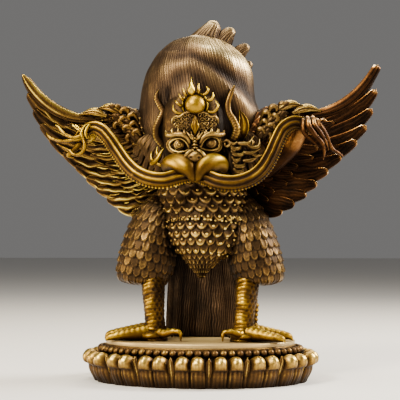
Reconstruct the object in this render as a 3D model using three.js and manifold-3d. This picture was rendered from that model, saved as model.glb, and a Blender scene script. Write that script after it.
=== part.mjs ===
// A cast brass garuda with a serpent in its beak, standing on an oval lotus base.
// Millimetres, +Z up. The origin is at the middle of the base's underside, and the figure faces -Y.
import * as THREE from 'three';
import { mergeVertices } from 'three/addons/utils/BufferGeometryUtils.js';
import Module from 'manifold-3d';

const wasm = await Module();
wasm.setup();

// Driving sizes of the lotus base
const PLATE_LONG = 52.6; // half of the top plate's long axis, along X
const PLATE_SHORT = 37.0; // half of its short axis, along Y
const PLATE_THICK = 2.6;
const BASE_HEIGHT = 22.5;
const BEAD_RADIUS = 2.1;
const PETAL_COUNT = 17;
const BEADS_PER_PETAL = 4;
const PETAL_REACH = 12.0; // from the plate's edge out to the widest part of the petals
const PETAL_HEIGHT = 14.8; // from the underside to the petals' upper edge
const FOOT_REACH = 7.5; // from the plate's edge out to the underside's edge
const GROOVE_REACH = 0.8; // from the plate's edge out to the groove behind the beads
const SEAT_GAP = 0.05; // between the plate and the figure's feet

// Driving size of the figure. Its pose and carving are shares of its height.
const FIGURE_HEIGHT = 179.0; // from the plate to the tip of the hair

// The figure's points below are drawn at this height, standing on a floor at this level.
const DRAWN_HEIGHT = 179.0;
const DRAWN_FLOOR = 22.5;

// Turns a closed three.js geometry into a solid that can be joined and cut.
function solid(geometry) {
  const bare = geometry.clone();
  bare.deleteAttribute('normal');
  bare.deleteAttribute('uv');
  const merged = mergeVertices(bare, 1e-4);
  return new wasm.Manifold(new wasm.Mesh({
    numProp: 3,
    vertProperties: new Float32Array(merged.attributes.position.array),
    triVerts: new Uint32Array(merged.index.array),
  }));
}

// Joins solids into one.
function joined(solids) {
  return solids.reduce((whole, next) => whole.add(next));
}

// Turns a joined solid back into a three.js geometry.
function geometryOf(shape) {
  const mesh = shape.getMesh();
  const geometry = new THREE.BufferGeometry();
  geometry.setAttribute('position', new THREE.BufferAttribute(mesh.vertProperties, 3));
  geometry.setIndex(new THREE.BufferAttribute(mesh.triVerts, 1));
  geometry.computeVertexNormals();
  return geometry;
}

// The mirror image across the YZ plane, with its faces still pointing out.
function mirrored(geometry) {
  const copy = geometry.clone();
  copy.scale(-1, 1, 1);
  const order = Array.from(copy.index.array);
  for (let i = 0; i < order.length; i += 3) {
    [order[i + 1], order[i + 2]] = [order[i + 2], order[i + 1]];
  }
  copy.setIndex(order);
  return copy;
}

// A geometry made on the right side, and its mirror image on the left.
function bothSides(geometries) {
  return geometries.flatMap((shape) => [shape, mirrored(shape)]);
}

// A value at share t of a list, smooth between its entries.
function along(list, t) {
  if (typeof list === 'number') return list;
  const points = list.map((value, i) => new THREE.Vector2(i, value));
  return new THREE.SplineCurve(points).getPoint(t).y;
}

// A closed loft along a smooth path. Each ring is an ellipse, `wide` across and `deep` towards `facing`,
// and both ends close to a point. `relief` moves a point out from the ring, in mm.
function loft({ path, wide, deep = wide, facing = [0, -1, 0], sides = 6, steps = 6, blunt = 0.5, relief }) {
  const line = new THREE.CatmullRomCurve3(path.map((p) => new THREE.Vector3(...p)), false, 'centripetal');
  const shape = new THREE.SphereGeometry(1, sides, steps);
  const places = shape.attributes.position;
  const front = new THREE.Vector3(...facing);
  for (let i = 0; i < places.count; i++) {
    const ring = Math.floor(i / (sides + 1));
    const side = i % (sides + 1);
    const row = steps - ring;
    const inner = THREE.MathUtils.clamp(row, blunt, steps - blunt);
    const t = row === 0 || row === steps ? row / steps : (inner - blunt) / (steps - 2 * blunt);
    const tangent = line.getTangent(THREE.MathUtils.clamp(t, 0.001, 0.999));
    const across = new THREE.Vector3().crossVectors(tangent, front).normalize();
    const out = new THREE.Vector3().crossVectors(across, tangent).normalize();
    const turn = (side % sides) * 2 * Math.PI / sides;
    const isPole = row === 0 || row === steps;
    const extra = relief && !isPole ? relief(t, turn, row, side % sides) : 0;
    const x = isPole ? 0 : -Math.cos(turn) * (along(wide, t) + extra);
    const z = isPole ? 0 : Math.sin(turn) * (along(deep, t) + extra);
    const at = line.getPoint(t).addScaledVector(across, x).addScaledVector(out, z);
    places.setXYZ(i, at.x, at.y, at.z);
  }
  return shape;
}

// A ball stretched to three half sizes.
function ball(centre, size, sides, rings) {
  const shape = new THREE.SphereGeometry(1, sides, rings);
  shape.rotateX(Math.PI / 2);
  shape.scale(...size);
  shape.translate(...centre);
  return shape;
}

// Raises every second point of a loft, which gives rows of overlapping scales.
function scales(height) {
  return (t, turn, row, side) => ((row + side) % 2 ? height : 0);
}

// The oval that runs `reach` outside the plate's edge
function oval(reach) {
  return new THREE.EllipseCurve(0, 0, PLATE_LONG + reach, PLATE_SHORT + reach);
}

// A stack of rings round the oval, closed flat at both ends. Each row gives the reach and height of a
// ring at a side's number, and the sides are evenly spaced along the petals' edge.
function ovalStack(rows, sides) {
  const edge = oval(PETAL_REACH);
  edge.arcLengthDivisions = 4 * sides;
  const turns = Array.from({ length: sides }, (_, side) => edge.getUtoTmapping(side / sides));
  const shape = new THREE.SphereGeometry(1, sides, rows.length + 1);
  const places = shape.attributes.position;
  for (let i = 0; i < places.count; i++) {
    const ring = rows.length - Math.floor(i / (sides + 1));
    const side = i % (sides + 1) % sides;
    const { reach, height } = rows[THREE.MathUtils.clamp(ring, 0, rows.length - 1)](side);
    const isPole = ring < 0 || ring === rows.length;
    const at = isPole ? new THREE.Vector2() : oval(reach).getPoint(turns[side]);
    places.setXYZ(i, at.x, at.y, height);
  }
  return shape;
}

// The base: a ring of double-lobed petals, a groove with a row of beads, and a thin plate
function lotusBase() {
  const beads = PETAL_COUNT * BEADS_PER_PETAL;
  const sides = 2 * beads;
  const under = BASE_HEIGHT - PLATE_THICK;
  const perLobe = BEADS_PER_PETAL;
  // How full a petal is at a side: 1 on a lobe's ridge, 0 in the cleft between two lobes
  const lobe = (side) => Math.abs(Math.sin(Math.PI * side / perLobe));
  // 1 on the pointed leaf between two petals, 0 elsewhere
  const leaf = (side) => (side % (2 * perLobe) === 0 ? 1 : 0);
  const ring = (reach, height) => () => ({ reach, height });
  const rows = [
    (side) => ({ reach: FOOT_REACH - 1.5 + 1.5 * lobe(side), height: 0 }),
    (side) => ({ reach: PETAL_REACH - 2.8 + 2.8 * lobe(side), height: 7.8 + 1.2 * leaf(side) }),
    (side) => ({ reach: PETAL_REACH - 4.6 + 3.4 * lobe(side), height: PETAL_HEIGHT - 2.4 + 1.2 * lobe(side) }),
    (side) => ({ reach: PETAL_REACH - 6.4 + 1.6 * lobe(side), height: PETAL_HEIGHT - 0.9 + 0.9 * lobe(side) }),
    ring(GROOVE_REACH + 1, under - 2 * BEAD_RADIUS - 1),
    (side) => ({ reach: GROOVE_REACH + (side % 2 ? 0.4 : 2 * BEAD_RADIUS), height: under - BEAD_RADIUS }),
    ring(0, under),
    ring(0, BASE_HEIGHT),
  ];
  return geometryOf(solid(ovalStack(rows, sides)));
}

// Body: breast, belly and the pointed feather apron between the thighs
function torso() {
  return loft({
    path: [[0, -7, 58], [0, -5, 66], [0, -2, 78], [0, 0, 92], [0, 1, 106], [0, 2, 120], [0, 2, 132], [0, 2, 142]],
    wide: [0.5, 8, 18, 22, 23, 24, 22, 15],
    deep: [0.5, 7, 14, 17, 17.5, 17, 15, 12],
    sides: 14,
    steps: 12,
    relief: scales(1.3),
  });
}

function thigh() {
  const zigzag = scales(1.4);
  const flare = 1.2; // the feathers stand off the outer side towards the hem
  return loft({
    path: [[13, 2, 106], [18, 1, 98], [23.5, 0, 88], [28, -1, 77], [30.2, -1, 66], [32.5, -1, 57], [33.5, -1, 52]],
    wide: [6, 10.4, 12.8, 13.8, 14.8, 13.6, 11.8],
    deep: [7, 12, 14.5, 15.5, 15, 13, 10.5],
    sides: 12,
    steps: 10,
    relief: (t, turn, row, side) => zigzag(t, turn, row, side) - flare * t * Math.cos(turn),
  });
}

function shin() {
  return loft({
    path: [[27.5, -9, 60], [27, -11, 48], [26, -12, 36], [25, -12, 27], [25, -12, 21]],
    wide: [6, 5.6, 5.1, 5.6, 7],
    deep: [6, 5.4, 5.0, 5.6, 7.5],
    sides: 8,
    steps: 7,
    blunt: 0.9,
  });
}

// A toe with a swelling knuckle and a claw that curls down to the plate
function toe(path, thick) {
  return loft({
    path,
    wide: [thick * 1.1, thick * 0.95, thick, thick * 0.8, thick * 0.55, 0.3],
    deep: [thick, thick * 0.9, thick, thick * 0.8, thick * 0.55, 0.3],
    facing: [0, 0, 1],
    sides: 5,
    steps: 5,
    blunt: 0.9,
  });
}

function toes() {
  return [
    toe([[27, -13, 26.5], [35, -17, 25.8], [42, -19.5, 25.6], [47, -21, 24.5], [48.5, -21.5, 22]], 3.7),
    toe([[28, -11, 27], [37, -9, 26], [45, -8, 25.8], [50, -8, 25], [51.8, -8, 22]], 3.6),
    toe([[24, -14, 26.5], [19, -19, 26], [14, -21, 27.5], [11, -21.5, 26], [10.6, -21.5, 22]], 3.0),
    toe([[24, -9, 26.5], [21, -4, 25.2], [18, 0, 25.4], [16.5, 2, 24.5], [16, 2.6, 22]], 2.8),
  ];
}

// The tail stands behind the legs, its quills side by side down to the plate
function tail() {
  return loft({
    path: [[0, 12, 92], [0, 17, 78], [0, 19.5, 58], [0, 20.5, 38], [0, 21, DRAWN_FLOOR - 4]],
    wide: [10, 17, 20.5, 22, 22.8],
    deep: [5, 5.5, 5, 5, 5.2],
    sides: 22,
    steps: 5,
    blunt: 0.9,
    relief: (t, turn, row, side) => (side % 2 ? -0.9 : 0.3),
  });
}

// Wings: quills fanned between a root line and the trailing edge, under two rows of coverts
const QUILLS = 12;
const WING_ROOT = [[46, 3, 149], [38, 5, 139], [31, 8, 126], [25, 11, 111], [18, 13, 97]];
const WING_EDGE = [
  [98.6, -10, 176], [97, -9.5, 154], [90.5, -7, 135], [76, -3, 120], [61, 1.5, 103.6], [48, 6, 94], [34, 9.5, 88.5],
];
// Each row across the quills: its place along them, its notch between quills, and its height off the sheet
const WING_ROWS = [
  { place: 0, notch: 0, rise: 2.6 },
  { place: 0.5, notch: 0.08, rise: 2.4 },
  { place: 0.53, notch: 0.08, rise: 1.1 },
  { place: 0.8, notch: 0.04, rise: 1.1 },
  { place: 1, notch: 0.1, rise: 0.8 },
];

function wing() {
  const curve = (points) => new THREE.CatmullRomCurve3(points.map((p) => new THREE.Vector3(...p)));
  const [root, edge] = [curve(WING_ROOT), curve(WING_EDGE)];
  const columns = 2 * QUILLS;
  const shape = new THREE.BoxGeometry(1, 1, 1, columns, WING_ROWS.length - 1, 1);
  const places = shape.attributes.position;
  for (let i = 0; i < places.count; i++) {
    const share = places.getX(i) + 0.5;
    const row = WING_ROWS[Math.round((places.getY(i) + 0.5) * (WING_ROWS.length - 1))];
    const isQuill = Math.round(share * columns) % 2 === 1;
    const t = row.place - (isQuill ? 0 : row.notch);
    const from = root.getPointAt(share);
    const to = edge.getPointAt(share);
    const sag = (0.62 - 0.36 * share) * t * (1 - t);
    const at = new THREE.Vector3(
      THREE.MathUtils.lerp(from.x, to.x, t) + (to.z - from.z) * sag,
      THREE.MathUtils.lerp(from.y, to.y, t),
      THREE.MathUtils.lerp(from.z, to.z, t) - (to.x - from.x) * sag,
    );
    const thick = places.getZ(i) > 0 ? row.rise : 1.1;
    at.y -= Math.sign(places.getZ(i)) * thick * (isQuill ? 1 : 0.45);
    places.setXYZ(i, at.x, at.y, at.z);
  }
  const bone = loft({
    path: [[14, 6, 114], [25, 5, 129], [35, 4, 141], [46, 2, 147.5], [57, 0, 148], [68, -3, 147]],
    wide: [11, 12, 9, 6.2, 4.6, 1.6],
    deep: [11, 10, 8.5, 6, 4.6, 1.6],
    sides: 8,
    steps: 7,
  });
  return [shape, bone];
}

// Curled tufts along the top of the shoulder
function tufts() {
  const count = 5;
  return Array.from({ length: count }, (_, i) => {
    const share = i / (count - 1);
    const x = 33 + 18 * share;
    const z = 141 + 11 * Math.sin(Math.min(1, share * 1.3) * Math.PI / 2);
    return loft({
      path: [[x - 2, 1, z - 6], [x, -3, z - 1], [x + 4, -3, z + 1.5], [x + 7, -1, z - 0.5]],
      wide: [2, 3, 2.6, 0.5],
      sides: 4,
      steps: 4,
    });
  });
}

// Arm from behind the serpent up to the fist
function arm() {
  const fore = loft({
    path: [[30, 0, 124], [40, -6, 120], [49, -13, 127], [56, -18, 137], [58, -19, 142]],
    wide: [8, 7, 6.2, 4.4, 3.8],
    deep: [8, 6.8, 5.6, 4.2, 3.6],
    sides: 7,
    steps: 6,
    blunt: 0.8,
  });
  // Four fingers side by side, as ridges of one grip
  const fist = loft({
    path: [[57.5, -16, 141], [59, -21.5, 147.5], [60.6, -27, 143.6], [62, -25, 137.6]],
    wide: [4.6, 5.2, 5, 4],
    deep: [2, 2, 1.8, 1],
    sides: 14,
    steps: 4,
    relief: (t, turn, row, side) => (side % 2 ? -0.5 : 0.5) * Math.abs(Math.sin(turn)),
  });
  return [fore, fist];
}

// Serpent: drawn from the left tail, over the fist, through the beak and out to the other fist
const SERPENT_HALF = [
  [0, -27.5, 112.5], [7, -29, 110], [15, -31, 106.8], [24, -31, 106.8], [32, -30, 111.5],
  [38.5, -28, 120], [43.5, -26, 130], [48.5, -24, 138.5], [55, -22.5, 141.8], [62, -20.5, 139.6],
  [67.5, -17.5, 133], [72.5, -14, 128.6], [77, -11.5, 129.5],
];

function serpent() {
  const left = SERPENT_HALF.slice(1).reverse().map(([x, y, z]) => [-x, y, z]);
  const wide = [5, 5, 5.2, 5.2, 5.2, 5, 4.8, 4.6, 4.6, 4.2, 3.2, 1.8, 0.5];
  const both = [...wide.slice(1).reverse(), ...wide];
  return loft({
    path: [...left, ...SERPENT_HALF],
    wide: both,
    deep: both.map((value) => 0.75 * value),
    sides: 6,
    steps: 36,
  });
}

// Head: skull, brows, eyes, a broad beak with lobes that close over the serpent, horns and ears
function head() {
  const skull = ball([0, -9, 134], [19.5, 15, 19], 10, 7);
  const nostrils = ball([0, -30, 122.6], [4.2, 3.2, 3.2], 7, 5);
  const bill = loft({
    path: [[0, -27, 119], [0, -30.5, 115], [0, -31.5, 111], [0, -31, 107.4]],
    wide: [8, 5.6, 3, 0.6],
    deep: [3, 2.6, 2.2, 0.6],
    sides: 6,
    steps: 5,
  });
  const bridge = loft({
    path: [[0, -25, 119], [0, -26.5, 128], [0, -25, 136]],
    wide: [3, 2.4, 3],
    deep: [3, 3, 2.4],
    sides: 6,
    steps: 4,
  });
  const lobe = loft({
    path: [
      [0, -27, 120.5], [5.5, -28, 119.5], [11, -26, 121.2], [15.2, -22.5, 120.4], [17.2, -19.5, 117], [17, -18, 114],
    ],
    wide: [4, 5.2, 4.8, 4.2, 3.4, 1.6],
    deep: [4, 4.2, 4.2, 4, 3.4, 1.6],
    sides: 7,
    steps: 6,
    blunt: 0.8,
  });
  const eyeball = ball([8.4, -22.5, 129.6], [3.3, 3, 3.3], 7, 5);
  const eyelid = new THREE.TorusGeometry(4.5, 0.95, 3, 9);
  eyelid.rotateX(Math.PI / 2).rotateZ(0.25).translate(8.4, -22.6, 129.6);
  const brow = loft({
    path: [
      [2.6, -26, 130.5], [4.6, -26.5, 134], [9, -26, 136], [13.4, -23.5, 135.6], [17, -20, 136.6], [18.5, -18, 139.5],
    ],
    wide: [1, 1.6, 2, 2, 1.8, 0.5],
    sides: 5,
    steps: 5,
  });
  const horn = loft({
    path: [
      [17, -10, 125], [21.6, -13.5, 129], [22.6, -15.5, 136], [20.2, -16, 143], [19.4, -16, 150],
      [21.4, -15, 156], [21.8, -14, 162],
    ],
    wide: [2.4, 2.5, 2.5, 2.2, 1.9, 1.4, 0.5],
    sides: 5,
    steps: 8,
  });
  const ear = loft({
    path: [[20, -4, 130], [26.5, -9, 136.5], [28.5, -8, 143], [27, -5, 149.5]],
    wide: [1.8, 3.8, 3.4, 0.4],
    deep: [1.4, 2, 1.8, 0.4],
    sides: 4,
    steps: 4,
  });
  const curls = [0, 1, 2].map((i) => {
    const z = 128 - 5 * i;
    return loft({
      path: [[13, -10, z], [20, -16.5, z - 1.5], [25, -17.5, z - 2.5], [26, -15.5, z + 1.5]],
      wide: [2, 2.4, 1.9, 0.5],
      sides: 4,
      steps: 4,
    });
  });
  return [skull, nostrils, bill, bridge, ...bothSides([lobe, eyeball, eyelid, brow, horn, ear, ...curls])];
}

// Crown: a jewel ringed by flames, with a lozenge below it
function crown() {
  const level = 149.6;
  const jewel = ball([0, -24.5, level], [5.6, 4.6, 5.6], 10, 7);
  const cup = new THREE.CylinderGeometry(7, 7.4, 5, 10).translate(0, -20.5, level);
  const flames = [-4, -3, -2, -1, 0, 1, 2, 3, 4].map((i) => {
    const turn = i * 0.42;
    const reach = i === 0 ? 13 : 10.6;
    const place = (r) => [Math.sin(turn) * r, -21.5, level + Math.cos(turn) * r];
    return loft({
      path: [place(5.4), place(7.6), place(reach)],
      wide: i === 0 ? [1, 2, 0.3] : [0.8, 1.1, 0.3],
      deep: [1.2, 1.3, 0.3],
      sides: 4,
      steps: 3,
    });
  });
  const lozenge = loft({
    path: [[0, -23, 133.6], [0, -25.6, 138.6], [0, -22.5, 145]],
    wide: [0.5, 2.8, 0.3],
    deep: [0.5, 2, 0.3],
    sides: 4,
    steps: 4,
  });
  return [jewel, cup, ...flames, lozenge];
}

// Hair: one swept mass with a groove at every second point, ending in curled tips towards the left shoulder
function hair() {
  const mass = loft({
    path: [
      [0, 13, 96], [0, 11, 108], [-1.2, 8, 120], [-2.2, 6.5, 130], [-2.5, 6.5, 140], [-2.4, 7, 151],
      [-2.2, 7.5, 162], [-2, 8.5, 172], [-1.8, 10, 181], [-1.4, 11, 188], [-1, 12, 192],
    ],
    wide: [9, 17, 26, 32, 34.6, 34, 32.4, 29.6, 24.6, 16, 5],
    deep: [5, 9, 16, 21, 24, 25, 25, 23.5, 20, 13.5, 5],
    sides: 18,
    steps: 11,
    blunt: 0.8,
    relief: (t, turn, row, side) => (side % 2 ? -0.8 : 0.5),
  });
  const tips = [
    { from: [0, 11, 184], mid: [3, 11.5, 194], to: [9.2, 11, 200.6], thick: 6.5 },
    { from: [8, 14, 180], mid: [13, 14.5, 189.5], to: [18.6, 14, 195.6], thick: 5.6 },
    { from: [14, 17, 172], mid: [21, 18, 182], to: [27.6, 17, 187], thick: 5.2 },
    { from: [16, 22, 162], mid: [24, 24, 172], to: [29.4, 23, 178], thick: 4.8 },
    { from: [12, 26, 150], mid: [20, 30, 161], to: [25, 32, 168], thick: 4.6 },
  ];
  const curls = tips.map(({ from, mid, to, thick }) => loft({
    path: [from, mid, to, [to[0] + 1.6, to[1], to[2] - 0.2]],
    wide: [thick, thick * 0.8, thick * 0.38, thick * 0.2],
    sides: 5,
    steps: 5,
  }));
  return [mass, ...curls];
}

function garuda() {
  const parts = [
    torso(), tail(), serpent(), ...head(), ...crown(), ...hair(),
    ...bothSides([thigh(), shin(), ...toes(), ...wing(), ...tufts(), ...arm()]),
  ];
  const size = FIGURE_HEIGHT / DRAWN_HEIGHT;
  for (const part of parts) {
    part.translate(0, 0, -DRAWN_FLOOR).scale(size, size, size).translate(0, 0, BASE_HEIGHT);
  }
  // The soles and the tail's end are cut flat where they meet the plate
  const depth = FIGURE_HEIGHT;
  const below = new THREE.BoxGeometry(2 * depth, 2 * depth, depth);
  below.translate(0, 0, BASE_HEIGHT + SEAT_GAP - depth / 2);
  return geometryOf(joined(parts.map(solid)).subtract(solid(below)));
}

function named(name, geometry, colour, roughness) {
  const mesh = new THREE.Mesh(geometry, new THREE.MeshStandardMaterial({ color: colour, metalness: 1, roughness }));
  mesh.name = name;
  return mesh;
}

const model = new THREE.Group();
model.add(named('lotus_base', lotusBase(), 0x8a6a2c, 0.42));
model.add(named('garuda_figure', garuda(), 0x8f6a26, 0.4));

export default model;
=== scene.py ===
# A cast brass garuda with a serpent in its beak, standing on an oval lotus base.
# Points and sizes are in millimetres, in the frame of the CAD model. Meshes are made in metres.
# Left and right are as seen from the front: right is +X. Left pieces are often right ones, mirrored.
import math
import bpy
import numpy as np
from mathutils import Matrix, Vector


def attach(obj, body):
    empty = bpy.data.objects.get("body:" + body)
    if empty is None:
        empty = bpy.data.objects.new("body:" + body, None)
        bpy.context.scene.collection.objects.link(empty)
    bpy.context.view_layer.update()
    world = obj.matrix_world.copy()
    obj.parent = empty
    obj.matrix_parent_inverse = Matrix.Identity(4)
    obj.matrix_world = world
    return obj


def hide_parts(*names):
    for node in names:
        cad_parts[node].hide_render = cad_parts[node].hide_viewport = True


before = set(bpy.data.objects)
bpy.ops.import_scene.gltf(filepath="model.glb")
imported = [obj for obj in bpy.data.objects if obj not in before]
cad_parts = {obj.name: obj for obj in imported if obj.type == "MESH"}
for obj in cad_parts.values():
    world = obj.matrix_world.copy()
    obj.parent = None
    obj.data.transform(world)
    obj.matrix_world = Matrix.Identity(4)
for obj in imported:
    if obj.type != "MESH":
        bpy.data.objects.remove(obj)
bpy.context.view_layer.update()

MM = 0.001
TAU = 2 * math.pi
FRONT = np.array([0.0, -1.0, 0.0])
chance = np.random.default_rng(11)


# Smooth lines
def clamp(x):
    """The values, none of them under 0 or over 1."""
    return np.clip(x, 0, 1)


def unit(v):
    """The same directions, each one long."""
    return v / np.maximum(np.linalg.norm(v, axis=-1, keepdims=True), 1e-9)


def spline(values, t):
    """Values at shares t of a list, smooth between its entries."""
    v = np.asarray(values, float)
    if v.ndim == 0:
        return np.full(np.shape(t), float(v))
    last = len(v) - 1
    place = clamp(t) * last
    i = np.minimum(place.astype(int), last - 1)
    w = place - i
    a, b, c, d = v[np.maximum(i - 1, 0)], v[i], v[i + 1], v[np.minimum(i + 2, last)]
    return b + 0.5 * w * ((c - a) + w * ((2 * a - 5 * b + 4 * c - d) + w * (3 * (b - c) + d - a)))


def line(points, t):
    """Points at shares t of a smooth path, which doesn't overshoot where the given points lie close."""
    p = np.asarray(points, float)
    p = np.vstack([2 * p[0] - p[1], p, 2 * p[-1] - p[-2]])
    last = len(p) - 3
    place = clamp(t) * last
    i = np.minimum(place.astype(int), last - 1)
    w = (place - i)[:, None]
    a, b, c, d = p[i], p[i + 1], p[i + 2], p[i + 3]
    ab, bc, cd = (np.linalg.norm(q - r, axis=1, keepdims=True) ** 0.5 for q, r in ((b, a), (c, b), (d, c)))
    m = ((b - a) / ab - (c - a) / (ab + bc) + (c - b) / bc) * bc
    n = ((c - b) / bc - (d - b) / (bc + cd) + (d - c) / cd) * bc
    return b + w * (m + w * (3 * (c - b) - 2 * m - n + w * (2 * (b - c) + m + n)))


def length_along(c):
    """How far each point of a line is from its start."""
    return np.concatenate([[0], np.cumsum(np.linalg.norm(np.diff(c, axis=0), axis=1))])


def even(points, count):
    """Shares of a path that lie the same distance apart."""
    t = np.linspace(0, 1, 300)
    s = length_along(line(points, t))
    return np.interp(np.linspace(0, s[-1], count), s, t)


def rounded(left, least):
    """The fullness of a round end, where `left` is the distance to the end in end radii."""
    return np.sqrt(np.clip(1 - (1 - np.minimum(left, 1)) ** 2, least, 1))


# Closed skins: a shell is its points, quads, end triangles, and a tone from 0 (dark) to 1 (bright), which
# holds wear and also painted light and shade
def face_normals(p):
    """Outward directions of a grid of points that closes round its columns."""
    round_it = np.roll(p, -1, axis=1) - np.roll(p, 1, axis=1)
    along_it = np.gradient(p, axis=0)
    return unit(np.cross(round_it, along_it))


def faced_out(verts, quads, caps, tones):
    """The shell with its faces turned outwards: its volume comes out positive."""
    fans = np.concatenate([quads[:, [0, 1, 2]], quads[:, [0, 2, 3]], caps])
    a, b, c = (verts[fans[:, k]] for k in range(3))
    if np.einsum("ij,ij->i", a, np.cross(b, c)).sum() < 0:
        quads, caps = quads[:, ::-1], caps[:, ::-1]
    return verts, quads, caps, tones


def skin(p, tone=0.6):
    """A shell over a grid of rings, with a pole at each end."""
    rows, cols = p.shape[:2]
    i = np.arange(rows * cols).reshape(rows, cols)
    j = np.roll(i, -1, axis=1)
    quads = np.stack([i[:-1], j[:-1], j[1:], i[1:]], -1).reshape(-1, 4)
    low, high = np.full(cols, rows * cols), np.full(cols, rows * cols + 1)
    caps = np.concatenate([np.stack([low, j[0], i[0]], 1), np.stack([high, i[-1], j[-1]], 1)])
    verts = np.concatenate([p.reshape(-1, 3), [p[0].mean(0)], [p[-1].mean(0)]])
    tone = np.broadcast_to(tone, (rows, cols))
    tones = np.concatenate([tone.ravel(), [tone[0].mean(), tone[-1].mean()]])
    return faced_out(verts, quads, caps, tones)


def mirrored(shells):
    """The same shells on the other side."""
    return [(v * [-1, 1, 1], q[:, ::-1], c[:, ::-1], t) for v, q, c, t in shells]


def turned(shells, degrees, about, by=(0, 0, 0)):
    """Turns shells about the upright line through a point, then moves them."""
    a = math.radians(degrees)
    turn = np.array([[math.cos(a), math.sin(a), 0], [-math.sin(a), math.cos(a), 0], [0, 0, 1]])
    about = np.asarray(about, float)
    return [((v - about) @ turn + about + by, q, c, t) for v, q, c, t in shells]


def copied(shell, size, at, brightness=1.0):
    """A copy of a shell at its own size and place."""
    verts, quads, caps, tones = shell
    return verts * size + at, quads, caps, tones * brightness


def loft(path, wide, deep=None, facing=FRONT, cols=16, rows=24, relief=None, blunt=(0, 0),
         square=1.0, turn=None):
    """Rings along a smooth path: half widths across it and towards `facing`, with rounded ends where asked.
    `relief(turn, s, p)` gives a height and a tone for each point. Turn is 0 in front, s is the length."""
    deep = wide if deep is None else deep
    t = even(path, rows)
    c = line(path, t)
    s = length_along(c)
    tangent = unit(np.gradient(c, axis=0))
    across = unit(np.cross(tangent, facing))
    out = np.cross(across, tangent)
    fit = np.ones(rows)
    for end, reach in enumerate(blunt):
        if reach:
            fit *= rounded((s[-1] - s if end else s) / reach, 0.0004)
    turn = np.linspace(0, TAU, cols, endpoint=False) if turn is None else turn
    x = np.sign(np.sin(turn)) * np.abs(np.sin(turn)) ** square
    z = np.sign(np.cos(turn)) * np.abs(np.cos(turn)) ** square
    w = (spline(wide, t) * fit)[:, None]
    d = (spline(deep, t) * fit)[:, None]
    p = c[:, None] + across[:, None] * (x * w)[..., None] + out[:, None] * (z * d)[..., None]
    tone = 0.6
    if relief is not None:
        turn = (turn + math.pi) % TAU - math.pi
        height, tone = relief(turn[None], s[:, None], p)
        p = p + face_normals(p) * (height * fit[:, None])[..., None]
    return p, tone


def tube(path, wide, deep=None, **more):
    """The same rings as a closed shell."""
    return skin(*loft(path, wide, deep, **more))


def uneven_turns(reach, front, back):
    """Turns round a tube that lie closer together in front, out to `reach` each way, than behind."""
    near = np.linspace(-reach, reach, front, endpoint=False)
    far = np.linspace(reach, TAU - reach, back, endpoint=False)
    return np.concatenate([near, far])


def blade(c, half, normal, thick, front, cols=15, cup=0.0):
    """A thin closed leaf along centre points c: half widths, the way it faces, and a relief on its front.
    `front(u, t, s, w)` gives a height and a tone: u is -1 to 1 across, t the share, s the length."""
    tangent = unit(np.gradient(c, axis=0))
    side = unit(np.cross(tangent, normal))
    out = np.cross(side, tangent)
    u = np.concatenate([np.linspace(-1, 1, cols), [0.6, 0, -0.6]])
    is_back = np.arange(len(u)) >= cols
    half = half[:, None]
    share = np.linspace(0, 1, len(c))[:, None]
    height, tone = front(u[None], share, length_along(c)[:, None], half)
    crown = np.sqrt(clamp(1 - u ** 2))
    lift = np.where(is_back, -thick * 0.6 * crown, thick * crown + height) - cup * half * u ** 2
    p = c[:, None] + side[:, None] * (u * half)[..., None] + out[:, None] * lift[..., None]
    return skin(p, np.where(is_back, 0.3, tone))


def leaf(points, widths, normal, thick, front, rows, cols, cup=0.0):
    """A blade through a few points, with half widths spread along it."""
    t = np.linspace(0, 1, rows)
    return blade(line(points, t), spline(widths, t), unit(np.array(normal, float)), thick, front, cols, cup)


def curl(centre, size, start, turns, thick, tail=None, rise=0.0, rows=26, cols=8, tone=0.55):
    """A tube that winds in on itself, like a curled lock or a scroll, from a tail where one is given."""
    share = np.linspace(0, 1, 12)
    angle = start + turns * TAU * share
    r = size * (1 - 0.7 * share)
    path = np.array(centre, float) + np.stack([r * np.cos(angle), -rise * share, r * np.sin(angle)], 1)
    if tail is not None:
        path = np.vstack([[tail], path])
    wide = [thick * 0.5, thick, thick * 0.95, thick * 0.85, thick * 0.75, thick * 0.85]
    return tube(path, wide, cols=cols, rows=rows, blunt=(thick, thick),
                relief=lambda turn, s, p: (0.0, tone - 0.15 + 0.2 * np.cos(turn)))


def ball(centre, size, cols=40, rows=28, relief=None, tone=0.5):
    """An egg shape with its poles up and down; `relief(p)` gives a height and a tone."""
    t = np.linspace(0.02, 0.98, rows)[:, None] * math.pi
    turn = np.linspace(0, TAU, cols, endpoint=False)
    around = [np.sin(t) * np.sin(turn), -np.sin(t) * np.cos(turn), -np.cos(t) * np.ones(cols)]
    p = np.stack(around, -1) * size + centre
    if relief is not None:
        height, tone = relief(p)
        p = p + face_normals(p) * height[..., None]
    return skin(p, tone)


# Patterns
def hump(x, width):
    """1 at x = 0, falling smoothly to 0 on both sides."""
    return np.exp(-(x / width) ** 2)


def mottle(x, y, seed, reach=1.0):
    """A smooth irregular pattern between -1 and 1."""
    pick = np.random.default_rng(seed)
    total = 0
    for k in range(6):
        a, b = pick.normal(size=2) / reach
        total = total + np.sin(a * x + b * y + pick.uniform(0, TAU))
    return total / 3.5


def overlapping(u, v, edge):
    """Rows of overlapping scales: place across the scale, distance above its free edge, and its row."""
    row = np.floor(v)

    def scale(r):
        x = u + 0.5 * (r % 2)
        x = x - np.round(x)
        return x, v - r - edge(np.abs(2 * x))

    (x1, d1), (x0, d0) = scale(row), scale(row - 1)
    upper = d1 > 0
    return np.where(upper, x1, x0), np.where(upper, d1, d0), np.where(upper, row, row - 1)


def each_differs(row, column):
    """A number between -1 and 1 that is another one for each scale."""
    return np.sin(row * 12.9 + np.round(column) * 78.2)


def ridges(s, spacing, fullness, uneven=0.0):
    """Rounded rings one after the other along a length, with sharp grooves between them."""
    return np.abs(np.sin(math.pi * s / spacing + uneven)) ** fullness


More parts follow.
